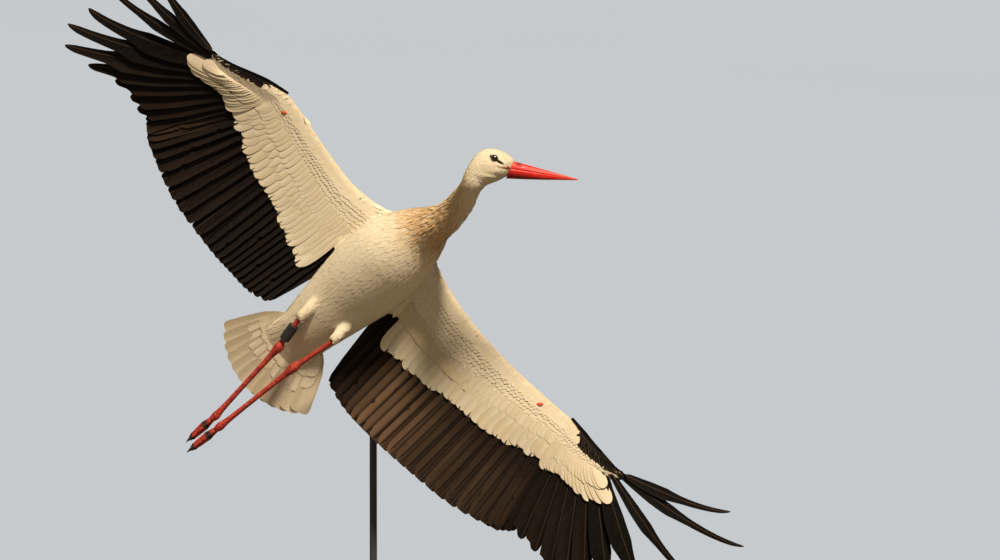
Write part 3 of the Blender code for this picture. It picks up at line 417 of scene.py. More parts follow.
def fine_route(points, radii, steps):
    """A smooth route through points, and its radii."""
    rows = [(*point, radius) for point, radius in zip(points, radii)]
    fine = [spline(rows, i / steps) for i in range(steps + 1)]
    return [Vector(row[:3]) for row in fine], [row[3] for row in fine]


def add_object(name, data):
    made = bpy.data.objects.new(name, data)
    bpy.context.scene.collection.objects.link(made)
    return made


def mesh_of(name, bm):
    """A mesh made from a bmesh, which is freed."""
    mesh = bpy.data.meshes.new(name)
    bm.to_mesh(mesh)
    bm.free()
    return mesh


def new_piece(name, bm, look, nodes=()):
    """A smooth piece at the origin that rides on the model and stands for CAD nodes."""
    mesh = mesh_of(name, bm)
    mesh.shade_smooth()
    return settle(add_object(name, mesh), look, nodes)


def settle(piece, look, nodes):
    piece.data.materials.append(look)
    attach(piece, "root")
    if nodes:
        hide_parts(*nodes)
    return piece


def torso_section(share):
    station = spline(TORSO, share)
    step = 0.02
    here = Vector(spline(TORSO, share - step)[:3])
    there = Vector(spline(TORSO, share + step)[:3])
    along = (there - here).normalized()
    up = along.cross(ASIDE).normalized()
    sizes = [size - BODY_INSET for size in station[3:]]
    return Vector(station[:3]), up.cross(along).normalized(), up, sizes


def head_section(share):
    forward, left, up, tilt, half_width, half_height = spline(HEAD, share)
    sizes = (half_width - HEAD_INSET, half_height - HEAD_INSET, half_height - HEAD_INSET)
    return Vector((forward, left, up)), ASIDE, tilted_up(tilt), sizes


def tilted_up(tilt):
    """The way up of a section of the head that leans back by degrees."""
    turn = math.radians(tilt)
    return Vector((-math.sin(turn), 0, math.cos(turn)))


def add_posed(bm, pose, sections, sides):
    """A tube through sections given in the body's or the head's frame."""
    turn = pose.to_3x3()
    placed = [(pose @ c, turn @ side, turn @ up, sizes) for c, side, up, sizes in sections]
    add_tube(bm, placed, sides)


def neck_route():
    """The neck's middle points from inside the torso to inside the head, with radii."""
    to_body = BODY_POSE.inverted() @ HEAD_POSE
    points = [Vector(TORSO[6][:3]), Vector(TORSO[7][:3]), Vector(NECK_MIDDLE)]
    points += [to_body @ Vector(HEAD[0][:3]), to_body @ Vector(HEAD[1][:3])]
    route, radii = fine_route(points, NECK_RADII, 20)
    return route, [radius - BODY_INSET for radius in radii]


def add_wing_core(bm, stations, side):
    """The fleshy part of one length of a wing, as an aerofoil tube."""
    loops = []
    steps = 4 * (len(stations) - 1)
    for i in range(steps + 1):
        station = spline(stations, i / steps)
        made = unit_ring(bm, 28)
        for vert in made:
            back = (1 - vert.co.x) / 2
            profile = UPPER_PROFILE if vert.co.y >= 0 else LOWER_PROFILE
            rise = steps_between(profile, back) * CORE_FULLNESS
            vert.co = BODY_POSE @ core_spot(station, 0.01 + back * 0.98, rise, side)
        loops.append(edges_of(made))
    close_tube(bm, loops)


def make_skin(look):
    """One skin from bill to tail and out along both wings, with no seams."""
    bm = bmesh.new()
    sections = [(Vector(row[:3]), ASIDE, UPWARD, row[3:]) for row in reversed(TAIL_CORE)]
    sections += [torso_section(i / 28) for i in range(29)]
    add_posed(bm, BODY_POSE, sections, 40)
    add_posed(bm, HEAD_POSE, [head_section(i / 24) for i in range(25)], 36)
    add_posed(bm, BODY_POSE, rod_sections(*neck_route()), 28)
    for leg in (LEFT_LEG, RIGHT_LEG):
        hip, top = Vector(leg[0]), Vector(leg[1])
        route = [hip.lerp(top, t) for t in (0, 0.3, 0.6, 0.85, 1)]
        add_posed(bm, BODY_POSE, rod_sections(route, THIGH_RADII), 24)
    for _, wing in WINGS:
        add_wing_core(bm, wing.arm, wing.side)
        add_wing_core(bm, wing.hand, wing.side)
    bmesh.ops.recalc_face_normals(bm, faces=bm.faces)
    rough = add_object("skin_rough", mesh_of("skin", bm))
    step = rough.modifiers.new("fuse", "REMESH")
    step.mode = "VOXEL"
    step.voxel_size = SKIN_VOXEL
    bpy.context.view_layer.update()
    graph = bpy.context.evaluated_depsgraph_get()
    fused = bpy.data.meshes.new_from_object(rough.evaluated_get(graph))
    bpy.data.objects.remove(rough)
    bm = bmesh.new()
    bm.from_mesh(fused)
    bpy.data.meshes.remove(fused)
    for _ in range(SMOOTHINGS):
        bmesh.ops.smooth_vert(
            bm, verts=bm.verts, factor=0.5, use_axis_x=True, use_axis_y=True, use_axis_z=True
        )
    shape_face(bm)
    sink_sockets(bm)
    piece = new_piece("skin", bm, look)
    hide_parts("torso", "neck_lower", "neck_upper", "head", "thigh_left", "thigh_right")
    mark_skin(piece)
    return piece


# Forms of the face: place forward and up, reach forward and up, and height. The skin moves out
# by the size of their sum, whichever sign it has.
FACE_FORMS = (
    (0.012, -0.01, 0.016, 0.008, 0.0022),
    (0.018, 0.003, 0.02, 0.0024, -0.0016),
    (0.004, 0.0275, 0.016, 0.003, 0.001),
    (0.025, 0.0105, 0.008, 0.005, -0.0012),
    (-0.018, 0.004, 0.006, 0.012, -0.001),
    (-0.008, -0.022, 0.022, 0.004, -0.002),
)
FACE_REACH = 0.045
FACE_MIDDLE = 0.004


def off_by(x, middle, reach):
    """How far a number is from a middle, squared, in reaches."""
    return ((x - middle) / reach) ** 2


def shape_face(bm):
    """Gives the skin of the head its brows, lores and cheeks."""
    back = HEAD_POSE.inverted()
    for vert in bm.verts:
        spot = back @ vert.co
        if max(abs(spot.x), abs(spot.z)) > FACE_REACH or abs(spot.y) < FACE_MIDDLE:
            continue
        out = 0.0
        for x, z, ahead, high, rise in FACE_FORMS:
            out += rise * math.exp(-off_by(spot.x, x, ahead) - off_by(spot.z, z, high))
        spot.y += math.copysign(out, spot.y)
        vert.co = HEAD_POSE @ spot


def sink_sockets(bm):
    """Pushes the skin in behind each eye."""
    back = HEAD_POSE.inverted()
    inner, outer = SOCKET_ASIDE
    for vert in bm.verts:
        spot = back @ vert.co
        far = math.hypot(spot.x - EYE_PLACE.x, spot.z - EYE_PLACE.z)
        if far < SOCKET_RADIUS and inner < abs(spot.y) < outer:
            depth = SOCKET_DEPTH * (1 - (far / SOCKET_RADIUS) ** 2)
            spot.y -= math.copysign(depth, spot.y)
            vert.co = HEAD_POSE @ spot


def mark_skin(piece):
    """Dark marks on the skin where black feathers grow, and an unwrap of its shape."""
    co = vertex_array(piece.data)
    facing = np.zeros(len(co) * 3, np.float32)
    piece.data.vertices.foreach_get("normal", facing)
    turned = facing.reshape(-1, 3) @ np.array(BODY_POSE.to_3x3())
    marks = black_here(moved(co, BODY_POSE.inverted()), turned)
    layer = piece.data.attributes.new("mark", "FLOAT", "POINT")
    layer.data.foreach_set("value", marks.astype(np.float32))
    bpy.context.view_layer.objects.active = piece
    piece.select_set(True)
    bpy.ops.object.mode_set(mode="EDIT")
    bpy.ops.mesh.select_all(action="SELECT")
    bpy.ops.uv.smart_project(angle_limit=math.radians(66), island_margin=0.001)
    bpy.ops.object.mode_set(mode="OBJECT")
    piece.select_set(False)
    piece.data.uv_layers[0].name = "OFBake"


def vertex_array(mesh):
    co = np.zeros(len(mesh.vertices) * 3, np.float32)
    mesh.vertices.foreach_get("co", co)
    return co.reshape(-1, 3).astype(float)


def moved(points, pose):
    """An array of points under a pose."""
    turn = np.array(pose)
    return points @ turn[:3, :3].T + turn[:3, 3]


# Where the scapulars are black: lowest height, reach aside and reach forward. The hand is black
# from the left and right wrist outward, where its skin faces up or forward.
SCAPULAR_HEIGHT = 0.036
SCAPULARS_ASIDE = (0.03, 0.088)
SCAPULARS_FORWARD = (-0.24, 0.0)
WRISTS_ASIDE = (0.56, 0.45)
FACING_UP = 0.45
FACING_FORWARD = 0.3


def black_here(points, normals):
    """Whether feathers rooted at points of the body's frame are black, from 0 to 1."""
    forward, left, up = points.T
    aside = np.abs(left)
    back = up > SCAPULAR_HEIGHT
    for value, (low, high) in ((aside, SCAPULARS_ASIDE), (forward, SCAPULARS_FORWARD)):
        back &= (value > low) & (value < high)
    hand = (normals[:, 2] > FACING_UP) | (normals[:, 0] > FACING_FORWARD)
    hand &= aside > np.where(left > 0, *WRISTS_ASIDE)
    return np.where(back | hand, 1.0, 0.0)


# Joined meshes of many feathers.


class Feathers:
    """Feathers with the same number of stations, gathered for one mesh."""

    def __init__(self, section=SMALL_SECTION):
        self.section = section
        self.rows = []

    def add(self, middle, outs, ups, outer, inner, thick, camber, tone, mark, pale=0.0):
        self.rows.append((middle, outs, ups, outer, inner, thick, camber, tone, mark, pale))

    def build(self, name, look, slot, nodes=(), skin=None):
        """One mesh of them all, unwrapped by their own lie or by their places on the skin."""
        fields = [np.array(values, float) for values in zip(*self.rows)]
        middle, outs, ups, outer, inner, thick, camber, tone, mark, pale = fields
        count, steps = outer.shape
        across, lift = np.array(self.section, float).T
        sides = len(across)
        reach = np.where(across > 0, outer[..., None] * across, inner[..., None] * across)
        height = thick[..., None] * lift - camber[..., None] * across**2
        points = middle[:, :, None] + outs[:, :, None] * reach[..., None]
        points += ups[:, :, None] * height[..., None]
        gone = np.linalg.norm(np.diff(middle, axis=1), axis=2)
        along = np.concatenate([np.zeros((count, 1)), np.cumsum(gone, axis=1)], axis=1)
        faces = feather_faces(steps, sides)
        onward = middle[:, 2] - middle[:, 0]
        turned = np.einsum("ni,ni->n", np.cross(outs[:, 1], ups[:, 1]), onward)
        loops = faces[None] + (np.arange(count) * steps * sides)[:, None, None]
        loops[turned > 0] = loops[turned > 0][:, :, ::-1]
        mesh = quad_mesh(name, moved(points.reshape(-1, 3), BODY_POSE), loops.reshape(-1, 4))
        share = (along / along[:, -1:])[..., None]
        full = (count, steps, sides)
        values = {"along": along[..., None], "across": reach, "share": share}
        for key, value in (("tone", tone), ("mark", mark), ("pale", pale)):
            values[key] = value[:, None, None]
        for key, value in values.items():
            spread = np.ascontiguousarray(np.broadcast_to(value, full), np.float32)
            mesh.attributes.new(key, "FLOAT", "POINT").data.foreach_set("value", spread.ravel())
        if skin is None:
            u = (np.arange(count)[:, None, None] + 0.5 + 0.42 * across) / count
            v = 0.02 + 0.96 * share
        else:
            roots = skin_places(skin, moved(middle[:, 0], BODY_POSE))[:, :, None, None]
            u = roots[:, 0] + 0.0015 * across
            v = roots[:, 1] + 0.003 * (share - 0.5)
        spots = np.stack([np.broadcast_to(part, full).ravel() for part in (u, v)], axis=1)
        spots = np.clip(spots[loops.ravel()], 0, 1).astype(np.float32)
        mesh.uv_layers.new(name="OFBake").data.foreach_set("uv", spots.ravel())
        mesh.shade_smooth()
        mesh.set_sharp_from_angle(angle=SHARP_EDGE)
        return settle(add_object(name, mesh), look, nodes)


def feather_faces(steps, sides):
    """The quads of one feather's closed tube, with flat ends."""
    faces = []
    for i in range(steps - 1):
        for k in range(sides):
            n = (k + 1) % sides
            faces.append((i * sides + k, i * sides + n, (i + 1) * sides + n, (i + 1) * sides + k))
    last = (steps - 1) * sides
    for k in range(sides // 2 - 1):
        faces.append((sides - 1 - k, sides - 2 - k, k + 1, k))
        faces.append((last + k, last + k + 1, last + sides - 2 - k, last + sides - 1 - k))
    return np.array(faces)


def quad_mesh(name, points, quads):
    mesh = bpy.data.meshes.new(name)
    mesh.vertices.add(len(points))
    mesh.vertices.foreach_set("co", points.astype(np.float32).ravel())
    mesh.loops.add(quads.size)
    mesh.loops.foreach_set("vertex_index", quads.astype(np.int32).ravel())
    mesh.polygons.add(len(quads))
    mesh.polygons.foreach_set("loop_start", np.arange(0, quads.size, 4, dtype=np.int32))
    mesh.update(calc_edges=True)
    return mesh


def surface_tree(mesh, pose=Matrix()):
    """A tree that finds the nearest place on a mesh, in a pose's frame."""
    back = pose.inverted()
    corners = [back @ vert.co for vert in mesh.vertices]
    return BVHTree.FromPolygons(corners, [face.vertices for face in mesh.polygons])


def skin_places(skin, points):
    """Where points lie on the skin's unwrap."""
    mesh = skin.data
    tree = surface_tree(mesh)
    uv = np.zeros(len(mesh.loops) * 2, np.float32)
    mesh.uv_layers["OFBake"].data.foreach_get("uv", uv)
    faces = [tree.find_nearest(Vector(point))[2] for point in points]
    return uv.reshape(-1, 2)[[mesh.polygons[face].loop_start for face in faces]]


def shape_at(shape, shares):
    return np.interp(shares, [x for x, _ in shape], [y for _, y in shape])


def blade_frames(lines, shares, tilt, side):
    """Middle points with ways out and up, on the middle one of three lines."""
    nearer, line, further = lines
    middle, outs, ups = [], [], []
    for share in shares:
        ahead, behind = point_on(line, share + 0.03), point_on(line, share - 0.03)
        along = (ahead - behind).normalized()
        out = point_on(further, share) - point_on(nearer, share)
        out = (out - along * out.dot(along)).normalized()
        up = out.cross(along).normalized() * side
        middle.append(point_on(line, share))
        outs.append(out * math.cos(tilt) + up * math.sin(tilt))
        ups.append(up * math.cos(tilt) - out * math.sin(tilt))
    return middle, outs, ups


def three_lines(wing, line_of, index):
    return [line_of(wing, index + step) for step in MIDDLE_THREE]


def wrist_line(wing, share):
    """A line between the last arm feather's and the first hand feather's."""
    near, far = arm_line(wing, SECONDARIES - 1), hand_line(wing, 0)
    return [a.lerp(b, share) for a, b in zip(near, far)]


# Splits of a vane: where along it they lie, how deep they cut, and their length.
SPLIT_PLACES = (0.45, 0.97)
SPLIT_DEPTHS = (0.08, 0.3)
SPLIT_LENGTH = 0.009


def notched(widths, shares, chance, count):
    """Widths with a few small splits, where barbs have parted."""
    widths = widths.copy()
    for _ in range(count):
        place = chance.uniform(*SPLIT_PLACES)
        cut = np.exp(-off_by(shares, place, SPLIT_LENGTH))
        widths *= 1 - chance.uniform(*SPLIT_DEPTHS) * cut
    return widths


TIP_CROWDING = 1.15
VANE_THINNING = 0.75


def add_vane(feathers, lines, shape, width, edges, tilt, side, steps, looks, chance):
    """One large feather: looks are thickness, camber, mark and paleness, the share of brown for
    wear and painted light.
    """
    shares = 1 - (1 - np.linspace(0, 1, steps)) ** TIP_CROWDING
    middle, outs, ups = blade_frames(lines, shares, tilt, side)
    sizes = shape_at(shape, shares)
    thick, camber, mark, pale = looks
    outer = width * OUTER_SHARE * edges[0] * sizes
    inner = width * (1 - OUTER_SHARE) * edges[1] * sizes
    if shape is BROAD:
        outer = notched(outer, shares, chance, chance.randint(0, 1))
        inner = notched(inner, shares, chance, chance.randint(0, 2))
    depth = thick * (1 - VANE_THINNING * shares)
    bend = camber * np.minimum(1.0, sizes)
    feathers.add(middle, outs, ups, outer, inner, depth, bend, chance.random(), mark, pale)


def primary_shape(slot):
    shape = [(0.0, 0.28), (slot * 0.3, 0.6), (slot * 0.7, 0.94), (slot, 1.0)]
    return shape + [(slot + (1 - slot) * x, size) for x, size in FINGER_TIP]


# How brown the secondaries are, from the body to the wrist: partly their wear, and partly painted
# light, browner where the left wing is lit and black where it lies in shade.
BROWN_WEAR_AND_LIGHT = {
    "left": ((0, 0.06), (0.18, 0.12), (0.26, 0.95), (0.48, 0.85), (0.6, 0.3), (1, 0.14)),
    "right": ((0, 0.02), (1, 0.04)),
}
ARM_WIDTH = 0.04
HAND_WIDTH = 0.047
VANE_STEPS = 40


def make_remiges(side_name, wing, look):
    """The flight feathers of one wing."""
    chance = random.Random(11)
    feathers = Feathers(LARGE_SECTION)

    def add(lines, shape, width, edges, tilt, looks):
        add_vane(feathers, lines, shape, width, edges, tilt, wing.side, VANE_STEPS, looks, chance)

    last = SECONDARIES_SHOWN - 1
    for i in range(SECONDARIES_SHOWN):
        index = (i + 0.5) / SECONDARIES_SHOWN * SECONDARIES - 0.5
        lines = three_lines(wing, arm_line, index + chance.uniform(-0.05, 0.05))
        # Brown for wear and painted light along the wing.
        wear_and_light = steps_between(BROWN_WEAR_AND_LIGHT[side_name], i / last) * chance.uniform(0.6, 1.2)
        edges = (0.9 if i == last else 1.0, 1.0)
        looks = (0.0009, 0.006, 1.0, wear_and_light)
        add(lines, BROAD if i else TERTIAL, ARM_WIDTH, edges, ARM_TILT, looks)
    for i in range(WRIST_FEATHERS):
        lines = three_lines(wing, wrist_line, (i + 1) / (WRIST_FEATHERS + 1))
        add(lines, BROAD, ARM_WIDTH, (0.9, 0.9), ARM_TILT, (0.0009, 0.0028, 1.0, 0.1))
    for i in range(PRIMARIES):
        edges = FINGER_EDGES if i >= PRIMARIES - 3 else (1.0, 1.0 if i else 0.8)
        looks = (0.0011, 0.0028, 1.0, 0.04 if i < 6 else 0.0)
        shape = primary_shape(PRIMARY_SLOTS[i])
        add(three_lines(wing, hand_line, i), shape, HAND_WIDTH, edges, HAND_TILT, looks)
    nodes = (f"outer_wing_{side_name}", f"inner_wing_{side_name}")
    return feathers.build(f"flight_feathers_{side_name}", look, "black_feather", nodes)


# Rows of coverts: first depth on the arm, tip's share of the reach, offset, width, count,
# mark, and whether they lie above.
ARM_ROWS = (
    (0.78, 1.00, 0.007, 0.03, 24, 0, False),
    (0.6, 0.7, 0.0085, 0.026, 28, 0, False),
    (0.42, 0.44, 0.0092, 0.021, 34, 0, False),
    (0.8, 1.18, 0.007, 0.032, 24, 1, True),
    (0.62, 0.8, 0.0088, 0.028, 28, 0, True),
    (0.44, 0.5, 0.0096, 0.022, 34, 0, True),
)
HAND_ROWS = (
    (0.75, 1.00, 0.0058, 0.026, 15, 0, False),
    (0.55, 0.62, 0.0078, 0.022, 17, 0, False),
    (0.8, 1.25, 0.0058, 0.026, 15, 1, True),
    (0.55, 0.75, 0.0078, 0.022, 17, 1, True),
)
# First and last flight feather over which the rows run.
ARM_SPAN = (0.7, 16.4)
HAND_SPAN = (-0.4, 7.1)
COVERT_STEPS = 14
COVERT_BOW = 0.0012
COVERT_THICKNESS = 0.00032
COVERT_CAMBER = 0.0005


def row_line(station, line, depth, reach, offset, above, side):
    """A covert's line from the wing's flesh to its tip over or under a big feather."""
    way = 1 if above else -1
    profile = UPPER_PROFILE if above else LOWER_PROFILE
    start = core_spot(station, depth, steps_between(profile, depth) * 0.8, side)
    return bowed(start, point_on(line, reach) + UPWARD * (way * offset), way * COVERT_BOW)


def make_coverts(side_name, wing, look, skin):
    """The rows of coverts over and under both parts of one wing."""
    chance = random.Random(23)
    feathers = Feathers()
    shares = 1 - (1 - np.linspace(0, 1, COVERT_STEPS)) ** 1.9
    parts = (
        (ARM_ROWS, wing.arm, arm_line, SECONDARIES, ARM_SPAN, ARM_ROOTS, wing.reach, ARM_TILT),
        (HAND_ROWS, wing.hand, hand_line, PRIMARIES, HAND_SPAN, HAND_ROOTS, HAND_REACH, HAND_TILT),
    )
    for rows, stations, line_of, total, span, roots, reaches, tilt in parts:
        for depth, part, offset, width, count, mark, above in rows:
            for i in range(count):
                share = (i + 0.5) / count
                index = within(span, share) + chance.uniform(-0.08, 0.08)
                reach = spline([(value,) for value in reaches], share)[0]
                reach *= part * chance.uniform(0.94, 1.06)
                lines = []
                for step in MIDDLE_THREE:
                    station = spline(stations, within(roots, (index + step + 0.5) / total))
                    line = line_of(wing, index + step)
                    lines.append(row_line(station, line, depth, reach, offset, above, wing.side))
                middle, outs, ups = blade_frames(lines, shares, tilt, wing.side)
                wide = width * 0.6 * shape_at(COVERT, shares) * chance.uniform(0.9, 1.1)
                bend = (COVERT_CAMBER if above else -COVERT_CAMBER) * shape_at(OVAL, shares)
                thick = COVERT_THICKNESS * (1 - 0.6 * shares)
                tone = chance.random()
                feathers.add(middle, outs, ups, wide, wide, thick, bend, tone, mark)
    add_alula(feathers, wing, chance)
    return feathers.build(f"coverts_{side_name}", look, "white_feather", skin=skin)


def add_alula(feathers, wing, chance):
    """The black feathers of the thumb, along the top of the hand's leading edge."""
    shares = np.linspace(0, 1, COVERT_STEPS)
    sizes = shape_at(POINTED, shares)
    for i in range(4):
        lines = []
        for step in reversed(MIDDLE_THREE):
            points = []
            for t in LINE_SHARES:
                station = spline(wing.hand, (0.02 + 0.04 * i) + (0.86 - 0.12 * i) * t)
                back = 0.05 + 0.09 * i + 0.16 * step + 0.05 * t
                points.append(core_spot(station, back, 0.5 + 0.1 * i + 0.35 * t, wing.side))
            lines.append(points)
        middle, outs, ups = blade_frames(lines, shares, 0.0, wing.side)
        wide = 0.0095 * sizes
        thick = 0.0008 * (1 - 0.6 * shares)
        feathers.add(middle, outs, ups, wide, wide, thick, 0.0012 * sizes, chance.random(), 1.0)


# Bare spots under the wrists: share of the arm and depth.
WRIST_SPOTS = {"left": (0.81, 0.21), "right": (0.87, 0.36)}
SPOT_RADII = (0.0075, 0.0045, 0.002)
SPOT_HEIGHT = 0.0021


def make_spot(side_name, wing, look, skin):
    """A small patch of orange skin that shows between the feathers under a wrist."""
    share, depth = WRIST_SPOTS[side_name]
    rise = steps_between(LOWER_PROFILE, depth)
    tree = surface_tree(skin.data)
    start = BODY_POSE @ core_spot(spline(wing.arm, share), depth, rise, wing.side)
    near, normal, _, _ = tree.find_nearest(start)
    turn = normal.to_track_quat("Z", "Y").to_matrix().to_4x4()
    place = Matrix.Translation(near + normal * SPOT_HEIGHT) @ turn
    bm = bmesh.new()
    bmesh.ops.create_uvsphere(bm, u_segments=24, v_segments=12, radius=1.0)
    bmesh.ops.scale(bm, vec=SPOT_RADII, verts=bm.verts)
    bmesh.ops.transform(bm, matrix=place, verts=bm.verts)
    return new_piece(f"wrist_skin_{side_name}", bm, look)


def tail_line(share, near=0.0, far=0.0, reach=1.0):
    """The middle line of a tail feather, from -1 at the right edge to 1 at the left one."""
    turn = TAIL_HALF_FAN * share
    way = Vector((-math.cos(turn), math.sin(turn), 0))
    tip = TAIL_TIP_REACH * (1 - TAIL_ROUNDING * share * share)
    first = TAIL_APEX + way * TAIL_ROOT_REACH
    last = TAIL_APEX + way * (TAIL_ROOT_REACH + (tip - TAIL_ROOT_REACH) * reach)
    rises = [near + (far - near) * min(1, 1.7 * t) for t in LINE_SHARES]
    return [first.lerp(last, t) + UPWARD * rise for t, rise in zip(LINE_SHARES, rises)]


# Rows of the tail's coverts: count, reach, height at the root and at the tip, and width.
TAIL_ROWS = (
    (12, 0.62, -0.004, -0.0024, 0.044),
    (13, 0.42, -0.0072, -0.0038, 0.04),
    (12, 0.5, 0.005, 0.006, 0.044),
    (12, 0.32, 0.008, 0.0085, 0.038),
)
TAIL_EDGES = (1.3, 0.8)
TAIL_SPACING = 0.08


def make_tail(look):
    """Twelve tail feathers with rows of coverts over and under them."""
    chance = random.Random(31)
    feathers = Feathers(LARGE_SECTION)

    def add(share, layer, shape, width, tilt, looks):
        steps = (-TAIL_SPACING, 0, TAIL_SPACING)
        lines = [tail_line(share + step, *layer) for step in steps]
        add_vane(feathers, lines, shape, width, TAIL_EDGES, tilt, 1, 30, looks, chance)

    for i in range(TAIL_FEATHERS):
        share = (i + 0.5) / TAIL_FEATHERS * 2 - 1
        add(share, (), BROAD, 0.046, TAIL_TILT, (0.0009, 0.0016, 0.0, 0.0))
    for count, reach, near, far, width in TAIL_ROWS:
        bend = 0.0006 if near > 0 else -0.0006
        for i in range(count):
            share = ((i + 0.5) / count * 2 - 1) * 0.88
            layer = (near, far, reach * chance.uniform(0.9, 1.08))
            add(share, layer, COVERT, width, TAIL_TILT * 0.3, (0.0004, bend, 0.0, 0.0))
    return feathers.build("tail_feathers", look, "white_feather", ("tail",))


# The coat that follows the skin. A guide says, for a place, the way the feathers lie, their
# spacing, length, width and lift of the tip, the piece they belong to, and its own reach.
TORSO_COAT = (
    (0.0064, 0.04, 0.012, 0.0006),
    (0.0066, 0.04, 0.012, 0.0006),
    (0.0066, 0.04, 0.012, 0.0006),
    (0.0064, 0.04, 0.0115, 0.0006),
    (0.006, 0.038, 0.0105, 0.0007),
    (0.0054, 0.038, 0.0096, 0.001),
    (0.0048, 0.04, 0.0082, 0.0018),
    (0.0042, 0.038, 0.0066, 0.0032),
)
LOW_NECK_COAT = (0.0037, 0.032, 0.0056, 0.0042)
NECK_COAT = (0.0031, 0.018, 0.0042, 0.0014)
HEAD_COAT = (0.0022, 0.0095, 0.0026, 0.0007)
ARM_COAT = (0.0095, 0.028, 0.015, 0.0007)
HAND_COAT = (0.0085, 0.022, 0.012, 0.0006)
BLACK_COAT = (0.085, 0.024, 0.0045)
HEAD_GUIDES = (
    ((0.036, 0, 0.002), (-1, 0, 0.1)),
    ((0.02, 0, 0.008), (-1, 0, 0)),
    ((0.004, 0, 0.006), (-1, 0, -0.05)),
    ((-0.012, 0, 0.0), (-0.9, 0, -0.3)),
    ((-0.026, 0, -0.014), (-0.7, 0, -0.7)),
)


def guides():
    """The guides of the whole coat, in the body's frame."""
    rearward = Vector((-1, 0, 0))
    rows = []
    for station, size in zip(TORSO, TORSO_COAT):
        rows.append((Vector(station[:3]), rearward, size, "body", station[3]))
    rows.append((Vector(TAIL_CORE[1][:3]), rearward, TORSO_COAT[0], "body", 0.06))
    points, _ = neck_route()
    for i in range(7, 21):
        way = (points[i - 1] - points[i]).normalized()
        rows.append((points[i], way, LOW_NECK_COAT if i < 13 else NECK_COAT, "neck", 0.025))
    to_body = BODY_POSE.inverted() @ HEAD_POSE
    turn = to_body.to_3x3()
    for place, way in HEAD_GUIDES:
        rows.append((to_body @ Vector(place), turn @ Vector(way), HEAD_COAT, "head", 0.025))
    for leg in (LEFT_LEG, RIGHT_LEG):
        hip, top = Vector(leg[0]), Vector(leg[1])
        for t in (0.35, 0.6, 0.8, 1.0):
            size = (0.0046, 0.034 - 0.018 * t, 0.0075, 0.001)
            way = (top - hip).normalized()
            rows.append((hip.lerp(top, t), way, size, "body", 0.03 - 0.018 * t))
    for side_name, wing in WINGS:
        arm = (wing.arm, arm_line, 9, (0.12, 0.86), (0.1, 0.5, 0.9), ARM_COAT, 0.012)
        hand = (wing.hand, hand_line, 5, (0.1, 0.85), (0.15, 0.7), HAND_COAT, 0.008)
        for stations, line_of, count, (first, span), depths, size, reach in (arm, hand):
            for i in range(count):
                line = line_of(wing, i * 2)
                way = (line[6] - line[0]).normalized()
                station = spline(stations, first + span * i / (count - 1))
                for back in depths:
                    spot = core_spot(station, back, 0.1, wing.side)
                    rows.append((spot, way, size, f"wing_{side_name}", reach))
    return rows


COAT_NAMES = ("body", "breast", "neck", "head", "wing_left", "wing_right")
BREAST_START = -0.02
SHOULDER_END = 0.1
SHARE_ON_SKIN = 0.7
REAR_FACING = -0.3
FRONT_FACING = 0.8
LESSER_STEPS = 5
SPREAD_POWER = 5
TRIES = 5
SIZE_LEVELS = 8


def scatter(skin, spacing_scale):
    """Roots of the coat's feathers on the skin: place, normal, way, sizes and piece."""
    mesh = skin.data
    mesh.calc_loop_triangles()
    co = moved(vertex_array(mesh), BODY_POSE.inverted())
    tris = np.zeros(len(mesh.loop_triangles) * 3, np.int32)
    mesh.loop_triangles.foreach_get("vertices", tris)
    corners = co[tris.reshape(-1, 3)]
    centres = corners.mean(axis=1)
    crosses = np.cross(corners[:, 1] - corners[:, 0], corners[:, 2] - corners[:, 0])
    areas = np.linalg.norm(crosses, axis=1) / 2
    places, ways, sizes, names, radii = zip(*guides())
    far = np.linalg.norm(centres[:, None] - np.array(places)[None], axis=2) / np.array(radii)
    weights = 1 / far**SPREAD_POWER
    weights /= weights.sum(axis=1, keepdims=True)
    sizes = weights @ (np.array(sizes) * (spacing_scale, 1, 1, 1))
    ways = weights @ np.array(ways)
    owners = np.array([COAT_NAMES.index(name) for name in names])[far.argmin(axis=1)]
    chance = np.random.default_rng(5)
    expected = areas / sizes[:, 0] ** 2
    share = expected / expected.sum()
    picks = chance.choice(len(areas), int(expected.sum() * TRIES), p=share)
    a, b = chance.random((2, len(picks)))
    flip = a + b > 1
    a, b = np.where(flip, 1 - a, a), np.where(flip, 1 - b, b)
    spots = corners[picks, 0] * (1 - a - b)[:, None]
    spots += corners[picks, 1] * a[:, None] + corners[picks, 2] * b[:, None]
    # One feather stays in each cell of a grid as fine as the spacing there.
    level = np.round(np.log(sizes[picks, 0]) * SIZE_LEVELS)
    cells = np.floor(spots / np.exp(level / SIZE_LEVELS)[:, None])
    keys = np.concatenate([level[:, None], cells], axis=1).astype(np.int64)
    _, first = np.unique(keys, axis=0, return_index=True)
    normals = crosses[picks] / (2 * areas[picks])[:, None]
    picked = picks[first]
    return spots[first], normals[first], ways[picked], sizes[picked], owners[picked]


# How much of a step along the skin may be lost, and how sharply the skin may turn.
STRAYING = 0.55
SHARPEST_TURN = 0.5


def march(tree, spot, normal, way, length, steps):
    """A line from a root along the skin, its normals, and the share of it that stays on."""
    points, ups, kept = [spot], [normal], 0
    pace = length / (steps - 1)
    for step in range(1, steps):
        way = (way - normal * way.dot(normal)).normalized()
        spot = spot + way * pace
        near, facing, _, _ = tree.find_nearest(spot)
        close = (near - spot).length < STRAYING * pace
        if kept == step - 1 and close and facing.dot(normal) > SHARPEST_TURN:
            spot = near
            normal = normal.lerp(facing, 0.5).normalized()
            kept = step
        points.append(spot)
        ups.append(normal)
    return points, ups, kept / (steps - 1)


def between(value, low, high):
    """Where a value lies from low to high, held from 0 to 1."""
    return max(0.0, min(1.0, (value - low) / (high - low)))


# Where the ochre stain comes and goes: forward in the body's frame, and from the head back.
STAIN_FORWARD = (0.04, 0.12)
STAIN_BELOW_HEAD = (-0.035, -0.075)


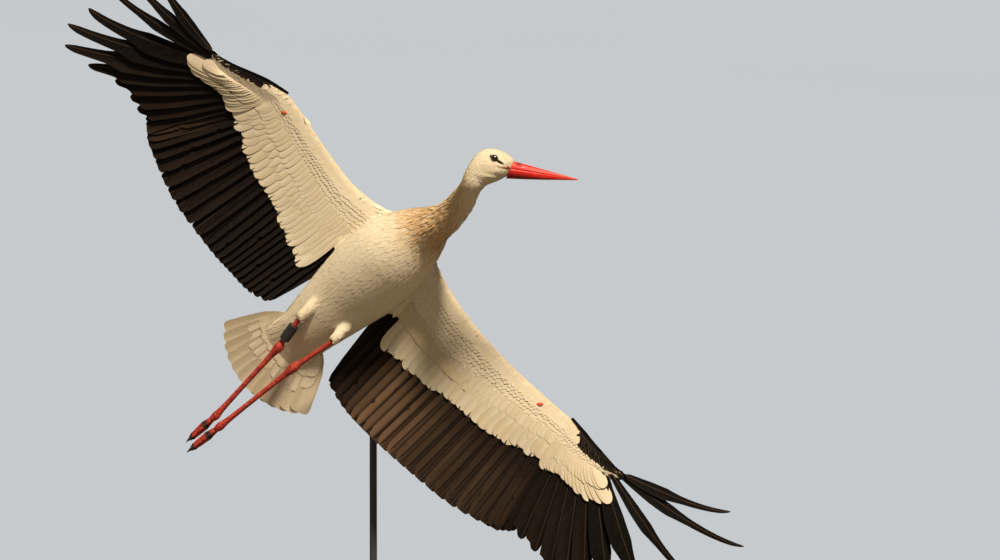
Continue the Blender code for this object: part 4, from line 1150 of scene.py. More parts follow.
def make_coats(look, skin, spacing_scale):
    """Small feathers all over the skin, in one piece for each region."""
    tree = surface_tree(skin.data, BODY_POSE)
    spots, normals, ways, sizes, owners = scatter(skin, spacing_scale)
    chance = random.Random(3)
    in_head = moved(moved(spots, BODY_POSE), HEAD_POSE.inverted())
    marks = black_here(spots, normals)
    coats = {name: Feathers() for name in COAT_NAMES}
    for i, owner in enumerate(owners):
        name = COAT_NAMES[owner]
        on_wing = name.startswith("wing")
        if name == "head" and bare_face(in_head[i]):
            continue
        if abs(spots[i][1]) > SHOULDER_END:
            continue
        if on_wing and not REAR_FACING < normals[i][0] < FRONT_FACING:
            continue
        length, width, lift = BLACK_COAT if marks[i] and name == "body" else sizes[i][1:]
        length *= chance.uniform(0.85, 1.15)
        width *= chance.uniform(0.88, 1.12)
        way = Vector(ways[i]) + Vector([chance.gauss(0, 0.07) for _ in range(3)])
        steps = 4 if name == "head" else 5
        points, ups, kept = march(tree, Vector(spots[i]), Vector(normals[i]), way, length, steps)
        if kept < (1.0 if on_wing else SHARE_ON_SKIN):
            continue
        lift *= chance.uniform(0.5, 1.7)
        front = between(spots[i][0], *STAIN_FORWARD) * (name != "head")
        below_head = between(in_head[i][0], *STAIN_BELOW_HEAD)
        stain = min(1.0, front * chance.uniform(0.5, 1.3) * below_head)
        piece = "breast" if name == "body" and spots[i][0] > BREAST_START else name
        shape = POINTED if name == "neck" else OVAL
        lay_feather(coats[piece], points, ups, width, lift, shape, chance, (marks[i], stain))
    for side_name, wing in WINGS:
        add_lessers(coats[f"wing_{side_name}"], tree, wing)
    for name, feathers in coats.items():
        feathers.build(f"coat_{name}", look, "white_feather", skin=skin)


# Rows of small coverts on the flesh of the wing: depths, and how many on the arm and hand.
LESSER_DEPTHS = (0.003, 0.022, 0.055, 0.09, 0.14, 0.21, 0.28, 0.35, 0.41)
ARM_COLUMNS = 58
HAND_COLUMNS = 26
FRONT_EDGE = 0.03
# Rows this near the front are black on the hand, from this share of it on; its end is all black.
BLACK_EDGE = 0.1
BLACK_FROM = 0.25
BLACK_END = 0.86


def add_lessers(feathers, tree, wing):
    """Overlapping rows of small coverts, above and below, along both parts of a wing."""
    chance = random.Random(7)
    parts = (
        (wing.arm, arm_line, SECONDARIES, ARM_COLUMNS, (0.04, 1.0)),
        (wing.hand, hand_line, PRIMARIES, HAND_COLUMNS, (0.0, 0.96)),
    )
    for stations, line_of, total, columns, ends in parts:
        on_hand = line_of is hand_line
        for profile in (UPPER_PROFILE, LOWER_PROFILE):
            above = profile is UPPER_PROFILE
            for row, depth in enumerate(LESSER_DEPTHS):
                lift = min(0.0033 - 0.0028 * depth, 0.0009 + 0.027 * depth)
                for column in range(columns):
                    share = (column + 0.5 * (row % 2) + chance.uniform(-0.12, 0.12)) / columns
                    station = spline(stations, within(ends, share))
                    back = depth + chance.uniform(-0.012, 0.012)
                    spot = core_spot(station, back, steps_between(profile, back), wing.side)
                    line = line_of(wing, share * (total - 1))
                    way = (line[8] - line[0]).normalized()
                    if depth < FRONT_EDGE:
                        way += UPWARD * (0.8 if above else -0.8)
                    near, normal, _, _ = tree.find_nearest(spot)
                    length = (0.022 + 0.016 * depth) * chance.uniform(0.92, 1.1)
                    width = (0.014 + 0.005 * depth) * (0.75 if on_hand else 1)
                    points, ups, kept = march(tree, near, normal, way, length, LESSER_STEPS)
                    if kept < SHARE_ON_SKIN:
                        continue
                    at_edge = (depth < BLACK_EDGE and share > BLACK_FROM) or share > BLACK_END
                    looks = (1.0 if on_hand and (above or at_edge) else 0.0, 0.0)
                    lay_feather(feathers, points, ups, width, lift, BROAD_OVAL, chance, looks)


# A small feather's root under the skin, fixed and by its lift; its thickness; and its camber.
ROOT_DEPTH = 0.0001
ROOT_BY_LIFT = 0.3
SMALL_THICKNESS = 0.0002
SMALL_CAMBER = 0.04


def lay_feather(feathers, points, ups, width, lift, shape, chance, looks):
    """A small feather along a marched line, its root just under the skin."""
    last = len(points) - 1
    shares = np.linspace(0, 1, last + 1)
    sink = ROOT_DEPTH + ROOT_BY_LIFT * lift
    heights = (lift + sink) * shares**0.8 - sink
    middle, outs = [], []
    for k in range(last + 1):
        along = (points[min(k + 1, last)] - points[max(k - 1, 0)]).normalized()
        middle.append(points[k] + ups[k] * heights[k])
        outs.append(along.cross(ups[k]).normalized())
    wide = width / 2 * shape_at(shape, shares)
    thick = np.minimum(SMALL_THICKNESS, 0.03 * width) * (1.3 - 0.9 * shares)
    bend = SMALL_CAMBER * wide
    feathers.add(middle, outs, ups, wide, wide, thick, bend, chance.random(), *looks)


# The bare skin's reach round the eye, and its points before and behind: length and sharpness.
PATCH_ROUND = 0.0078
PATCH_AHEAD = (0.0165, 70)
PATCH_BEHIND = (0.0045, 20)


def patch_reach(angle):
    """How far the bare black skin reaches from the eye's middle, by its direction.

    The angle is 0 forward and a quarter turn up. The patch is drawn out to a point ahead of the
    eye and below it, and to a shorter one behind.
    """
    reach = PATCH_ROUND
    for turn, (length, sharpness) in ((0, PATCH_AHEAD), (math.pi, PATCH_BEHIND)):
        reach += length * max(0.0, math.cos(angle - PATCH_SLOPE - turn)) ** sharpness
    return reach


# Where no feathers grow on the face: their distance from the bare skin, the mouth's line, and
# the bill's root. The crown's middle is feathered.
BARE_MARGIN = 1.05
BARE_AHEAD = 0.004
MOUTH_START = 0.012
MOUTH_HEIGHT = 0.0006
MOUTH_HALF = 0.0012
CROWN_HALF = 0.006
BILL_START = 0.0385


def bare_face(spot):
    """Whether a place in the head's frame is on the eye, the bare skin or the bill's root."""
    forward, aside, up = spot
    x, z = forward - EYE_PLACE.x, up - EYE_PLACE.z
    reach = patch_reach(math.atan2(z, x))
    inside = math.hypot(x, z) < BARE_MARGIN * reach or math.hypot(x - BARE_AHEAD, z) < reach
    at_mouth = MOUTH_START < forward and abs(up - MOUTH_HEIGHT) < MOUTH_HALF
    return ((inside or at_mouth) and abs(aside) > CROWN_HALF) or forward > BILL_START


# Bill, eyes and lids. The nostril's place is forward and up.
NOSTRIL = (0.053, 0.0134)
BILL_STEPS = 110
BILL_SIDES = 56
MOUTH_GAP = 0.00022
BILL_OVERLAP = 0.0015
# Shares of the bill's height and width that its tip keeps, and how full its section is.
TIP_HEIGHT = 0.05
TIP_WIDTH = 0.07
FULLNESS_UP = 0.86
FULLNESS_ASIDE = 1.12
# The nostril's slit and the groove before it: where, how long and how deep.
SLIT_LENGTH = 0.0058
SLIT_HIGH = (0.64, 0.09)
SLIT_DEPTH = 0.0034
GROOVE_MIDDLE = 0.085
GROOVE_HALF = 0.05
GROOVE_HIGH = (0.5, 0.13)
GROOVE_DEPTH = 0.0006
# How far the nostril's painted shade reaches, forward and up.
SLIT_SHADE = (0.0062, 0.0015)


def make_bill(top, look):
    """One half of the bill, with its nostril and the groove in front of it."""
    forward, _, up, tilt, half_width, half_height = HEAD[-1]
    rise = tilted_up(tilt)
    middle = Vector((forward - BILL_OVERLAP, 0, up))
    sign = 1 if top else -1
    bm = bmesh.new()
    loops = []
    for i in range(BILL_STEPS + 1):
        share = 1 - (1 - i / BILL_STEPS) ** 1.1
        size = 1 - share
        mouth = middle.lerp(BILL_TIP, share) - rise * (up * size)
        rising = rise.lerp(UPWARD, min(1.0, 2 * share)).normalized()
        height = (half_height - sign * up) * (size * (1 - TIP_HEIGHT) + TIP_HEIGHT)
        width = half_width * (size * (1 - TIP_WIDTH) + TIP_WIDTH)
        made = unit_ring(bm, BILL_SIDES)
        for vert in made:
            across, high = vert.co.x, vert.co.y
            over = height * abs(high) ** FULLNESS_UP if high > 0 else MOUTH_GAP * high
            aside = width * math.copysign(abs(across) ** FULLNESS_ASIDE, across)
            point = carve(mouth, aside, rising, sign * (MOUTH_GAP + over), top, height)
            vert.co = HEAD_POSE @ point
        loops.append(edges_of(made))
    close_tube(bm, loops)
    bmesh.ops.recalc_face_normals(bm, faces=bm.faces)
    darken_bill(bm, top)
    name = "bill_upper" if top else "bill_lower"
    return new_piece(f"{name}_horn", bm, look, (name,))


def darken_bill(bm, top):
    """Marks the painted shade in the nostrils and on the lower half's underside."""
    back = HEAD_POSE.inverted()
    layer = bm.verts.layers.float.new("mark")
    for vert in bm.verts:
        spot = back @ vert.co
        if top:
            far = off_by(spot.x, NOSTRIL[0], SLIT_SHADE[0])
            far += off_by(spot.z, NOSTRIL[1], SLIT_SHADE[1])
            vert[layer] = min(1.0, 1.7 * math.exp(-far))
        else:
            # Painted shade, deepest low down and towards the bill's root.
            low = (-0.003 - spot.z) / 0.009 - (spot.x - 0.04) / 0.16
            vert[layer] = 0.75 * max(0.0, min(1.0, low))


def carve(mouth, aside, rising, lift, top, height):
    """A point of the bill, pushed in at the nostril and at the groove before it."""
    point = mouth + ASIDE * aside + rising * lift
    if top and lift > 0.001:
        high = lift / max(height, 1e-6)
        slit = math.exp(-off_by(point.x, NOSTRIL[0], SLIT_LENGTH) - off_by(high, *SLIT_HIGH))
        groove = max(0.0, 1 - abs(point.x - GROOVE_MIDDLE) / GROOVE_HALF)
        groove *= math.exp(-off_by(high, *GROOVE_HIGH))
        depth = SLIT_DEPTH * slit + GROOVE_DEPTH * groove
        point -= ASIDE * math.copysign(min(depth, abs(aside) * 0.8), aside)
    return point


def make_eyes(eye_look, lid_look, gape_look, skin):
    """Dark eyes deep in the head, with the bare skin round them and at the mouth."""
    tree = surface_tree(skin.data)
    for side_name, side in (("left", 1), ("right", -1)):
        bm = bmesh.new()
        bmesh.ops.create_uvsphere(bm, u_segments=32, v_segments=20, radius=EYE_RADIUS)
        place = Vector((EYE_PLACE.x, side * EYE_PLACE.y, EYE_PLACE.z))
        bmesh.ops.translate(bm, verts=bm.verts, vec=place)
        bmesh.ops.transform(bm, matrix=HEAD_POSE, verts=bm.verts)
        node = f"eye_{side_name}"
        new_piece(f"{node}_ball", bm, eye_look, (node,))
        make_lids(side_name, side, lid_look, tree)
        make_gape(side_name, side, gape_look, tree)


BESIDE_HEAD = 0.035


def on_head(tree, x, z, side, out):
    """A point over the side of the head at a place forward and up, and its height above it."""
    start = HEAD_POSE @ Vector((x, side * BESIDE_HEAD, z))
    way = HEAD_POSE.to_3x3() @ Vector((0, -side, 0))
    near, normal, _, _ = tree.ray_cast(start, way)
    if near is None:
        near, normal, _, _ = tree.find_nearest(start)
    return near + normal * out


def make_lids(side_name, side, look, tree):
    """A rim of lids, with the bare black skin that runs out to points before and behind."""
    bm = bmesh.new()
    rings = []
    for grow, out in LID_RINGS:
        ring = unit_ring(bm, 144)
        for vert in ring:
            angle = math.atan2(vert.co.y, vert.co.x)
            reach = LID_OPENING + (patch_reach(angle) - LID_OPENING) * grow
            x = EYE_PLACE.x + reach * math.cos(angle)
            z = EYE_PLACE.z + reach * math.sin(angle)
            if grow == 0:
                aside = EYE_PLACE.y + math.sqrt(EYE_RADIUS**2 - LID_OPENING**2) + out
                vert.co = HEAD_POSE @ Vector((x, side * aside, z))
            else:
                vert.co = on_head(tree, x, z, side, out)
        rings.append(edges_of(ring))
    for near, far in zip(rings, rings[1:] + rings[:1]):
        bmesh.ops.bridge_loops(bm, edges=near + far)
    bmesh.ops.recalc_face_normals(bm, faces=bm.faces)
    return new_piece(f"lids_{side_name}", bm, look)


def make_gape(side_name, side, look, tree):
    """The brownish skin that carries the mouth's line from the bill into the cheek."""
    bm = bmesh.new()
    points = [on_head(tree, x, z, side, 0.0006) for x, z, _ in GAPE]
    add_tube(bm, rod_sections(*fine_route(points, [half for _, _, half in GAPE], 24)), 12)
    bmesh.ops.recalc_face_normals(bm, faces=bm.faces)
    return new_piece(f"gape_{side_name}", bm, look)


# Legs.


def make_leg(side_name, leg, look):
    """The bare leg in one scaled skin: shank, heel, tarsus, and four toes with claws."""
    _, top, heel, toes, tips = [Vector(point) for point in leg]
    bm = bmesh.new()
    shin = (toes - heel).normalized()
    way = (tips - toes).normalized()
    route = [top.lerp(heel, t) for t in (-0.14, 0.0, 0.5, 0.8, 0.9, 0.97)]
    sizes = [0.005, 0.0056, 0.0055, 0.0062, 0.0085, HEEL_RADIUS]
    route += [heel + shin * x for x in (0.004, 0.012, 0.022, 0.034)]
    sizes += [HEEL_RADIUS, 0.0092, 0.0074, 0.0064]
    route += [heel.lerp(toes, t) for t in (0.35, 0.55, 0.75, 0.88)]
    sizes += [0.0057, 0.0056, 0.0058, 0.0063]
    route += [toes - shin * 0.008, toes, toes + way * 0.01, toes + way * 0.018]
    sizes += [0.0078, 0.0092, 0.0078, 0.0045]
    add_tube(bm, rod_sections(*fine_route(route, sizes, 110)), 20)
    for toe in TOES:
        add_toe(bm, toes, tips, way, toe)
    bmesh.ops.recalc_face_normals(bm, faces=bm.faces)
    lie, round_by, tip = [bm.verts.layers.float.new(n) for n in ("along", "across", "mark")]
    for vert in bm.verts:
        point = vert.co
        vert[lie] = (point - top).dot(shin)
        middle = top + shin * vert[lie]
        vert[round_by] = math.atan2(point.z - middle.z, point.y - middle.y) * 0.006
        vert[tip] = claw_share(point, toes, tips)
    bmesh.ops.transform(bm, matrix=BODY_POSE, verts=bm.verts)
    nodes = (f"shank_{side_name}", f"tarsus_{side_name}", f"foot_{side_name}")
    return new_piece(f"leg_{side_name}", bm, look, nodes)


def claw_share(point, toes, tips):
    """How far a point is on a claw, from 0 to 1."""
    whole = tips - toes
    share = (point - toes).dot(whole) / whole.length_squared
    for reach in sorted(toe[2] for toe in TOES):
        if share <= reach + 0.01:
            return between(share, reach - 0.13, reach - 0.1)
    return 1.0


def add_toe(bm, toes, tips, along, toe):
    """A toe with its knuckles and claw, from the foot's root to its own reach."""
    across, above, reach = toe
    side = along.cross(UPWARD).normalized()
    up = side.cross(along)
    root = toes - along * 0.001
    bulge = toes.lerp(tips, 0.45 * reach) + side * across + up * above
    end = toes.lerp(tips, reach) + side * (across * 0.7) + up * above
    route = [root, root.lerp(bulge, 0.5), bulge, bulge.lerp(end, 0.5) - up * 0.0012]
    route += [bulge.lerp(end, 0.8) - up * 0.0004, bulge.lerp(end, 0.88), end - up * 0.002]
    sizes = [TOE_RADIUS * size for size in (1.0, 0.94, 0.9, 0.78, 0.72, 0.46, 0.1)]
    points, radii = fine_route(route, sizes, 40)
    for i in range(34):
        radii[i] *= 1 + 0.07 * math.cos(i * 0.95)
    add_tube(bm, rod_sections(points, radii), 14)


# Materials.


def plug(tree, source, socket):
    """Feeds a socket from another one, or sets it to a number or a colour."""
    if isinstance(source, bpy.types.NodeSocket):
        tree.links.new(source, socket)
    elif isinstance(source, (int, float)):
        socket.default_value = source
    elif socket.type == "RGBA":
        socket.default_value = (*tuple(source)[:3], 1)
    else:
        socket.default_value = source


def add_node(tree, kind, output, sources, **settings):
    """A new node with its sockets fed by name or number. Gives one of its outputs."""
    made = tree.nodes.new(f"ShaderNode{kind}")
    for key, value in settings.items():
        setattr(made, key, value)
    for key, source in sources.items():
        plug(tree, source, made.inputs[key])
    return made.outputs[output]


def link_math(tree, operation, *sources):
    return add_node(tree, "Math", 0, dict(enumerate(sources)), operation=operation)


def times(tree, first, second):
    return link_math(tree, "MULTIPLY", first, second)


def link_mix(tree, share, first, second):
    """A colour between two, each one a socket or three numbers."""
    return add_node(tree, "Mix", 2, {0: share, 6: first, 7: second}, data_type="RGBA")


def link_vector(tree, *sources):
    return add_node(tree, "CombineXYZ", 0, dict(enumerate(sources)))


def link_noise(tree, vector, scale, detail=2.0, roughness=0.5):
    sources = {"Vector": vector, "Scale": scale, "Detail": detail, "Roughness": roughness}
    return add_node(tree, "TexNoise", "Fac", sources)


def link_range(tree, value, low, high, to_low=0.0, to_high=1.0):
    sources = {"Value": value, "From Min": low, "From Max": high}
    return add_node(tree, "MapRange", 0, {**sources, "To Min": to_low, "To Max": to_high})


def attribute(tree, name):
    return add_node(tree, "Attribute", "Fac", {}, attribute_name=name)


def object_place(tree):
    return add_node(tree, "TexCoord", "Object", {})


def new_look(name, roughness, **sockets):
    """A material with its node tree and its shader."""
    made = bpy.data.materials.new(name)
    made.use_nodes = True
    shader = made.node_tree.nodes["Principled BSDF"]
    shader.inputs["Roughness"].default_value = roughness
    for socket, value in sockets.items():
        shader.inputs[socket.replace("_", " ")].default_value = value
    return made, made.node_tree, shader


def finish(tree, shader, colour, roughness=None, height=None, distance=0.0, strength=1.0):
    """Feeds a shader with its colour, and if given its roughness and its relief."""
    plug(tree, colour, shader.inputs["Base Color"])
    if roughness is not None:
        plug(tree, roughness, shader.inputs["Roughness"])
    if height is not None:
        relief = {"Distance": distance, "Strength": strength, "Height": height}
        plug(tree, add_node(tree, "Bump", 0, relief), shader.inputs["Normal"])


def barbs_group():
    """Barbs that slant away from a feather's shaft, clumped a little."""
    group = bpy.data.node_groups.new("Feather barbs", "ShaderNodeTree")
    for way, names in (("INPUT", "Along Across Tone Spacing"), ("OUTPUT", "Height Streak")):
        for name in names.split():
            group.interface.new_socket(name=name, in_out=way, socket_type="NodeSocketFloat")
    inputs = group.nodes.new("NodeGroupInput").outputs
    aside = link_math(group, "ABSOLUTE", inputs["Across"])
    slant = link_math(group, "MULTIPLY_ADD", aside, -1.3, inputs["Along"])
    turns = link_math(group, "DIVIDE", slant, inputs["Spacing"])
    fine = link_math(group, "SINE", times(group, turns, 6.283))
    seed = times(group, inputs["Tone"], 61.0)
    half = times(group, inputs["Across"], 60.0)
    clumps = link_noise(group, link_vector(group, times(group, turns, 0.22), half, seed), 1.0)
    outputs = group.nodes.new("NodeGroupOutput").inputs
    plug(group, link_math(group, "MULTIPLY_ADD", fine, 0.16, clumps), outputs["Height"])
    plug(group, clumps, outputs["Streak"])
    return group


def feather_look(coat, barb_spacing, name):
    """Feathers, white or black by their mark, with barbs, a shaft, painted shade at the covered
    root and edge, and brown for wear and painted light.
    """
    made, tree, shader = new_look(name, 0.72, Specular_IOR_Level=0.06)
    group = tree.nodes.new("ShaderNodeGroup")
    group.node_tree = bpy.data.node_groups.get("Feather barbs") or barbs_group()
    for key in ("Along", "Across", "Tone"):
        plug(tree, attribute(tree, key.lower()), group.inputs[key])
    plug(tree, barb_spacing, group.inputs["Spacing"])
    streak = link_range(tree, group.outputs["Streak"], 0.3, 0.7)
    tone, share, across, pale = [
        attribute(tree, key) for key in ("tone", "share", "across", "pale")
    ]
    white = link_mix(tree, times(tree, tone, 0.5), coat.white, coat.cream)
    white = link_mix(tree, times(tree, streak, 0.3), white, coat.cream)
    # Painted shade: white darkens towards the root, where the feather over it would shade it.
    white = link_mix(tree, link_range(tree, share, 0.25, 0.95, 0.36, 0.0), white, coat.shaded)
    stain = times(tree, pale, link_range(tree, streak, 0, 1, 0.5, 1))
    white = link_mix(tree, stain, white, coat.ochre)
    # Painted shade: white feathers darken along the covered edge of the inner vane, as shade and
    # the black feathers beneath would show through.
    under = link_range(tree, across, -0.0125, -0.0035, 0.42, 0.0)
    white = link_mix(tree, under, white, coat.shaded)
    # Brown on black feathers is partly wear and partly painted light: it fades across from the lit
    # inner vane to the shaded outer one.
    wear_and_light = times(tree, pale, link_range(tree, share, 0.2, 0.6))
    wear_and_light = times(tree, wear_and_light, link_range(tree, across, -0.017, -0.002, 1.0, 0.15))
    brown = link_math(tree, "MULTIPLY_ADD", wear_and_light, 0.9, times(tree, streak, 0.03))
    black = link_mix(tree, brown, coat.black, coat.brown)
    shaft = link_range(tree, link_math(tree, "ABSOLUTE", across), 0.0005, 0.0012, 0.16, 0.0)
    black = link_mix(tree, shaft, black, coat.brown)
    colour = link_mix(tree, attribute(tree, "mark"), white, black)
    rough = link_range(tree, streak, 0.0, 1.0, 0.62, 0.8)
    finish(tree, shader, colour, rough, group.outputs["Height"], 0.0005, 0.4)
    return made


def skin_look(coat):
    """Down and skin under the coat, dark where black feathers grow."""
    made, tree, shader = new_look("down", 0.9)
    fine = link_noise(tree, object_place(tree), 240.0, 4.0)
    pale = link_mix(tree, fine, coat.shaded, coat.cream)
    colour = link_mix(tree, attribute(tree, "mark"), pale, coat.black)
    finish(tree, shader, colour, None, fine, 0.0012, 0.6)
    return made


def horn_look(bare):
    """Smooth red horn with fine lengthwise grain, scuffed and paler towards the tip, and painted
    shade in the nostrils and under the bill.
    """
    sockets = {"Coat_Weight": 0.03, "Coat_Roughness": 0.3, "Specular_IOR_Level": 0.32}
    made, tree, shader = new_look("red horn", 0.45, **sockets)
    turned = {"Vector": object_place(tree), "Rotation": (0, -BILL_DROOP, 0), "Scale": (1, 7, 7)}
    grain = link_noise(tree, add_node(tree, "Mapping", 0, turned), 55.0, 5.0, 0.6)
    blotch = link_noise(tree, object_place(tree), 30.0, 3.0)
    forward = add_node(tree, "SeparateXYZ", 0, {0: object_place(tree)})
    end = (HEAD_POSE @ BILL_TIP).x
    tip = link_range(tree, forward, end - 0.05, end, 0.0, 0.55)
    colour = link_mix(tree, link_range(tree, grain, 0.35, 0.75), bare.bill, bare.bill_dark)
    colour = link_mix(tree, link_range(tree, blotch, 0.55, 0.8, 0.0, 0.5), colour, bare.bill_pale)
    colour = link_mix(tree, tip, colour, bare.bill_pale)
    # Painted shade where the bill is marked: the nostrils and the lower half's underside.
    colour = link_mix(tree, attribute(tree, "mark"), colour, bare.bill_painted_shade)
    rough = link_range(tree, grain, 0.3, 0.8, 0.36, 0.55)
    finish(tree, shader, colour, rough, grain, 0.0003, 0.25)
    return made


def leg_look(bare):
    """Red scaled skin, darker in the hollows between the scales, with dark claws."""
    made, tree, shader = new_look("red leg skin", 0.5)
    vector = link_vector(tree, attribute(tree, "along"), attribute(tree, "across"), 0.0)
    scales = {"Vector": vector, "Scale": 330.0}
    cells = add_node(tree, "TexVoronoi", "Distance", scales, feature="DISTANCE_TO_EDGE")
    edge = link_range(tree, cells, 0.0, 0.16)
    blotch = link_noise(tree, object_place(tree), 60.0, 4.0)
    colour = link_mix(tree, link_range(tree, blotch, 0.35, 0.7), bare.leg, bare.leg_pale)
    colour = link_mix(tree, edge, bare.leg_dark, colour)
    colour = link_mix(tree, attribute(tree, "mark"), colour, bare.claw)
    rough = link_range(tree, edge, 0.0, 1.0, 0.75, 0.45)
    finish(tree, shader, colour, rough, edge, 0.0006, 0.7)
    return made


def eye_look(bare):
    """A wet dark eye with a barely lighter iris."""
    made, tree, shader = new_look("dark eye", 0.2, Coat_Weight=1.0, Coat_Roughness=0.12)
    fine = link_noise(tree, object_place(tree), 900.0, 3.0)
    finish(tree, shader, link_mix(tree, fine, bare.eye, bare.iris))
    return made


def lid_look(bare):
    """Bare black skin round the eye, finely wrinkled."""
    made, tree, shader = new_look("bare black skin", 0.55)
    fine = link_noise(tree, object_place(tree), 1400.0, 4.0, 0.6)
    finish(tree, shader, link_mix(tree, fine, bare.eye, bare.lid), None, fine, 0.0005, 0.7)
    return made


def plain_look(name, dark, light, roughness, scale):
    """Skin, paint or plastic with a fine orange-peel surface and slight wear."""
    made, tree, shader = new_look(name, roughness)
    fine = link_noise(tree, object_place(tree), scale, 4.0)
    broad = link_noise(tree, object_place(tree), 9.0, 5.0, 0.6)
    rough = link_range(tree, broad, 0.3, 0.7, roughness - 0.08, roughness + 0.12)
    finish(tree, shader, link_mix(tree, broad, dark, light), rough, fine, 0.0003, 0.25)
    return made


# Sizes and colours that a user would change.


def colour_of(name, text, default):
    return bpy.props.FloatVectorProperty(
        name=name, description=text, subtype="COLOR", size=3, min=0, max=1, default=default
    )


def number_of(name, text, default, **limits):
    return bpy.props.FloatProperty(name=name, description=text, default=default, **limits)


class StorkCoat(bpy.types.PropertyGroup):
    white: colour_of("White", "Lit white feathers", (0.86, 0.78, 0.62))
    cream: colour_of("Cream", "Warmer streaks in white feathers", (0.78, 0.64, 0.41))
    # Painted shade on the covered roots of white feathers; the down of the skin also takes this
    # colour.
    shaded: colour_of("Root", "Roots of white feathers", (0.52, 0.43, 0.28))
    ochre: colour_of("Ochre", "Stained feathers of the neck and crop", (0.54, 0.3, 0.09))
    black: colour_of("Black", "Black feathers", (0.0035, 0.0033, 0.0036))
    # Brown is the wear of black feathers, and also painted light on the lit vanes of the flight
    # feathers.
    brown: colour_of("Brown", "Worn brown on black feathers", (0.28, 0.17, 0.1))
    spacing: number_of(
        "Spacing", "Spacing of the small feathers, against life", 1.0,
        min=0.8, max=3.0, subtype="FACTOR",
    )
    barbs: number_of(
        "Barbs", "Distance between a feather's barbs", 0.0011,
        min=0.0005, max=0.005, unit="LENGTH",
    )


class StorkBare(bpy.types.PropertyGroup):
    bill: colour_of("Bill", "Red horn", (0.8, 0.022, 0.012))
    bill_dark: colour_of("Bill grain", "Darker grain in the horn", (0.55, 0.014, 0.01))
    # Painted shade for the nostrils and the bill's underside.
    bill_painted_shade: colour_of("Bill deep", "Nostrils and the bill's underside", (0.1, 0.006, 0.006))
    bill_pale: colour_of("Bill tip", "Paler, scuffed horn", (0.8, 0.12, 0.05))
    leg: colour_of("Leg", "Red leg skin", (0.52, 0.035, 0.02))
    leg_pale: colour_of("Leg scales", "Paler scales", (0.68, 0.09, 0.045))
    leg_dark: colour_of("Leg hollows", "Hollows between the scales", (0.2, 0.012, 0.01))
    claw: colour_of("Claw", "Dark claws", (0.03, 0.015, 0.012))
    eye: colour_of("Eye", "Nearly black eye", (0.008, 0.006, 0.006))
    iris: colour_of("Iris", "Dark brown iris", (0.02, 0.012, 0.009))
    gape: colour_of("Gape", "Skin at the corner of the mouth", (0.34, 0.1, 0.045))
    lid: colour_of("Lid", "Bare skin round the eye", (0.022, 0.019, 0.018))


class StorkStage(bpy.types.PropertyGroup):
    floor: colour_of("Floor", "Plain pale floor", (0.36, 0.44, 0.58))
    ground: colour_of("Ground", "How the floor lights the bird from below", (0.13, 0.11, 0.08))
    sun: number_of("Sun", "Strength of the warm light", 5.2, min=0, max=20)
    sky: number_of("Sky", "Strength of the soft light all round", 0.18, min=0, max=5)
    elevation: number_of(
        "Elevation", "Camera's height angle", math.radians(6), subtype="ANGLE"
    )
    distance: number_of("Distance", "Camera's distance", 24.0, unit="LENGTH")


class SkinOperator(bpy.types.Operator):
    """Make one skin from the bill to the tail and out along the wings"""

    bl_idname = "stork.skin"
    bl_label = "Skin"

    def execute(self, context):
        make_skin(skin_look(context.scene.stork_coat))
        return {"FINISHED"}


class CoatOperator(bpy.types.Operator):
    """Cover the skin with small feathers"""

    bl_idname = "stork.coat"
    bl_label = "Small feathers"

    def execute(self, context):
        coat = context.scene.stork_coat
        look = feather_look(coat, coat.barbs * 0.6, "small feathers")
        make_coats(look, bpy.data.objects["skin"], coat.spacing)
        return {"FINISHED"}


class WingsOperator(bpy.types.Operator):
    """Make the flight feathers and coverts of both wings"""

    bl_idname = "stork.wings"
    bl_label = "Wings"

    def execute(self, context):
        coat, bare = context.scene.stork_coat, context.scene.stork_bare
        skin = bpy.data.objects["skin"]
        look = feather_look(coat, coat.barbs, "large feathers")
        spot_look = plain_look("wrist skin", bare.bill_pale, bare.leg_pale, 0.5, 300.0)
        for side_name, wing in WINGS:
            make_remiges(side_name, wing, look)
            make_coverts(side_name, wing, look, skin)
        for side_name, wing in WINGS:
            make_spot(side_name, wing, spot_look, skin)
        return {"FINISHED"}


class TailOperator(bpy.types.Operator):
    """Make the tail feathers and their coverts"""

    bl_idname = "stork.tail"
    bl_label = "Tail"

    def execute(self, context):
        coat = context.scene.stork_coat
        make_tail(feather_look(coat, coat.barbs, "tail feathers"))
        return {"FINISHED"}


class FaceOperator(bpy.types.Operator):
    """Make the bill, the eyes and their lids"""

    bl_idname = "stork.face"
    bl_label = "Bill and eyes"

    def execute(self, context):
        bare = context.scene.stork_bare
        horn = horn_look(bare)
        for top in (True, False):
            make_bill(top, horn)
        gape = plain_look("gape", bare.gape, bare.leg_dark, 0.5, 300.0)
        make_eyes(eye_look(bare), lid_look(bare), gape, bpy.data.objects["skin"])
        return {"FINISHED"}


class LegsOperator(bpy.types.Operator):
    """Make the bare legs with their feet, and finish the leg ring"""

    bl_idname = "stork.legs"
    bl_label = "Legs"

    def execute(self, context):
        look = leg_look(context.scene.stork_bare)
        make_leg("left", LEFT_LEG, look)
        make_leg("right", RIGHT_LEG, look)
        ring = plain_look("ring plastic", (0.012, 0.012, 0.013), (0.03, 0.03, 0.032), 0.4, 900.0)
        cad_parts["leg_ring"].material_slots[0].material = ring
        return {"FINISHED"}


class StandOperator(bpy.types.Operator):
    """Finish the stand's paint"""

    bl_idname = "stork.stand"
    bl_label = "Stand"

    def execute(self, context):
        paint = plain_look("stand paint", (0.035, 0.036, 0.04), (0.06, 0.062, 0.068), 0.45, 700.0)
        for name in ("stand_base", "stand_rod"):
            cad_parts[name].material_slots[0].material = paint
        return {"FINISHED"}


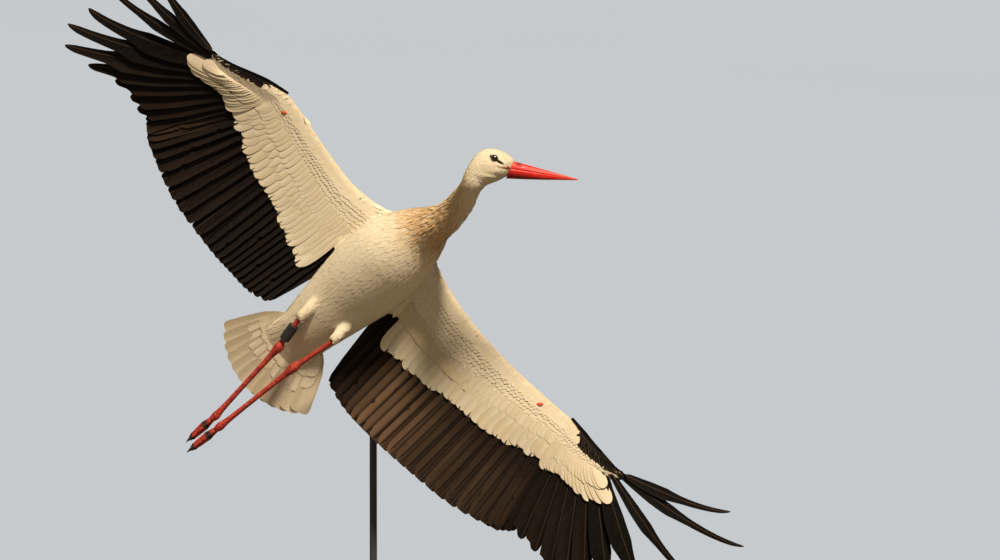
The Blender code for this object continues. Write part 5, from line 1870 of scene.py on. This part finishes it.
# What the camera looks at, the width of its picture there in metres, and the way to the sun.
TARGET = Vector((0.278, -0.065, 0.8087))
FRAME_WIDTH = 2.174
SENSOR = 36.0
TO_SUN = Vector((0.2, -0.5, 0.84))
SUN_COLOUR = (1.0, 0.86, 0.68)
SUN_SPREAD = math.radians(7)
SKY_COLOUR = (1.0, 0.93, 0.8, 1)
FLOOR_SHADE = (0.33, 0.38, 0.46)


def aim(made, away):
    """Turns a lamp or a camera so that it looks against a direction."""
    made.rotation_euler = away.to_track_quat("Z", "Y").to_euler()


class StageOperator(bpy.types.Operator):
    """Set up the floor, the light and the camera"""

    bl_idname = "stork.stage"
    bl_label = "Stage"

    def execute(self, context):
        stage = context.scene.stork_stage
        bm = bmesh.new()
        bmesh.ops.create_grid(bm, x_segments=2, y_segments=2, size=150.0)
        floor = add_object("floor", mesh_of("floor", bm))
        made, tree, shader = new_look("floor", 0.9)
        shade = link_range(tree, link_noise(tree, object_place(tree), 0.4, 3.0), 0.3, 0.7, 0, 0.1)
        seen = link_mix(tree, shade, stage.floor, FLOOR_SHADE)
        # Seen pale, but it throws little light up, as open country far below would.
        looked_at = add_node(tree, "LightPath", "Is Camera Ray", {})
        finish(tree, shader, link_mix(tree, looked_at, stage.ground, seen))
        floor.data.materials.append(made)
        sun = bpy.data.lights.new("sun", "SUN")
        sun.energy = stage.sun
        sun.color = SUN_COLOUR
        sun.angle = SUN_SPREAD
        aim(add_object("sun", sun), TO_SUN)
        world = bpy.data.worlds.new("sky")
        world.use_nodes = True
        background = world.node_tree.nodes["Background"]
        background.inputs["Color"].default_value = SKY_COLOUR
        background.inputs["Strength"].default_value = stage.sky
        context.scene.world = world
        lens = bpy.data.cameras.new("camera")
        lens.sensor_width = SENSOR
        lens.lens = SENSOR * stage.distance / FRAME_WIDTH
        lens.clip_end = 500
        camera = add_object("camera", lens)
        away = Vector((0, -math.cos(stage.elevation), math.sin(stage.elevation)))
        camera.location = TARGET + away * stage.distance
        aim(camera, away)
        context.scene.camera = camera
        context.scene.view_settings.view_transform = "Standard"
        return {"FINISHED"}


STEPS = ("skin", "coat", "wings", "tail", "face", "legs", "stand", "stage")
GROUPS = {"stork_coat": StorkCoat, "stork_bare": StorkBare, "stork_stage": StorkStage}


class StorkPanel(bpy.types.Panel):
    bl_idname = "VIEW3D_PT_stork"
    bl_label = "White stork"
    bl_space_type = "VIEW_3D"
    bl_region_type = "UI"
    bl_category = "Stork"

    def draw(self, context):
        for name, group in GROUPS.items():
            for key in group.__annotations__:
                self.layout.prop(getattr(context.scene, name), key)
        for step in STEPS:
            self.layout.operator(f"stork.{step}")


OPERATORS = (
    SkinOperator,
    CoatOperator,
    WingsOperator,
    TailOperator,
    FaceOperator,
    LegsOperator,
    StandOperator,
    StageOperator,
)
CLASSES = (*GROUPS.values(), *OPERATORS, StorkPanel)


def register():
    for made in CLASSES:
        bpy.utils.register_class(made)
    for name, group in GROUPS.items():
        setattr(bpy.types.Scene, name, bpy.props.PointerProperty(type=group))


def unregister():
    for name in GROUPS:
        delattr(bpy.types.Scene, name)
    for made in reversed(CLASSES):
        bpy.utils.unregister_class(made)


def main():
    register()
    for step in STEPS:
        getattr(bpy.ops.stork, step)()


if __name__ == "__main__":
    main()
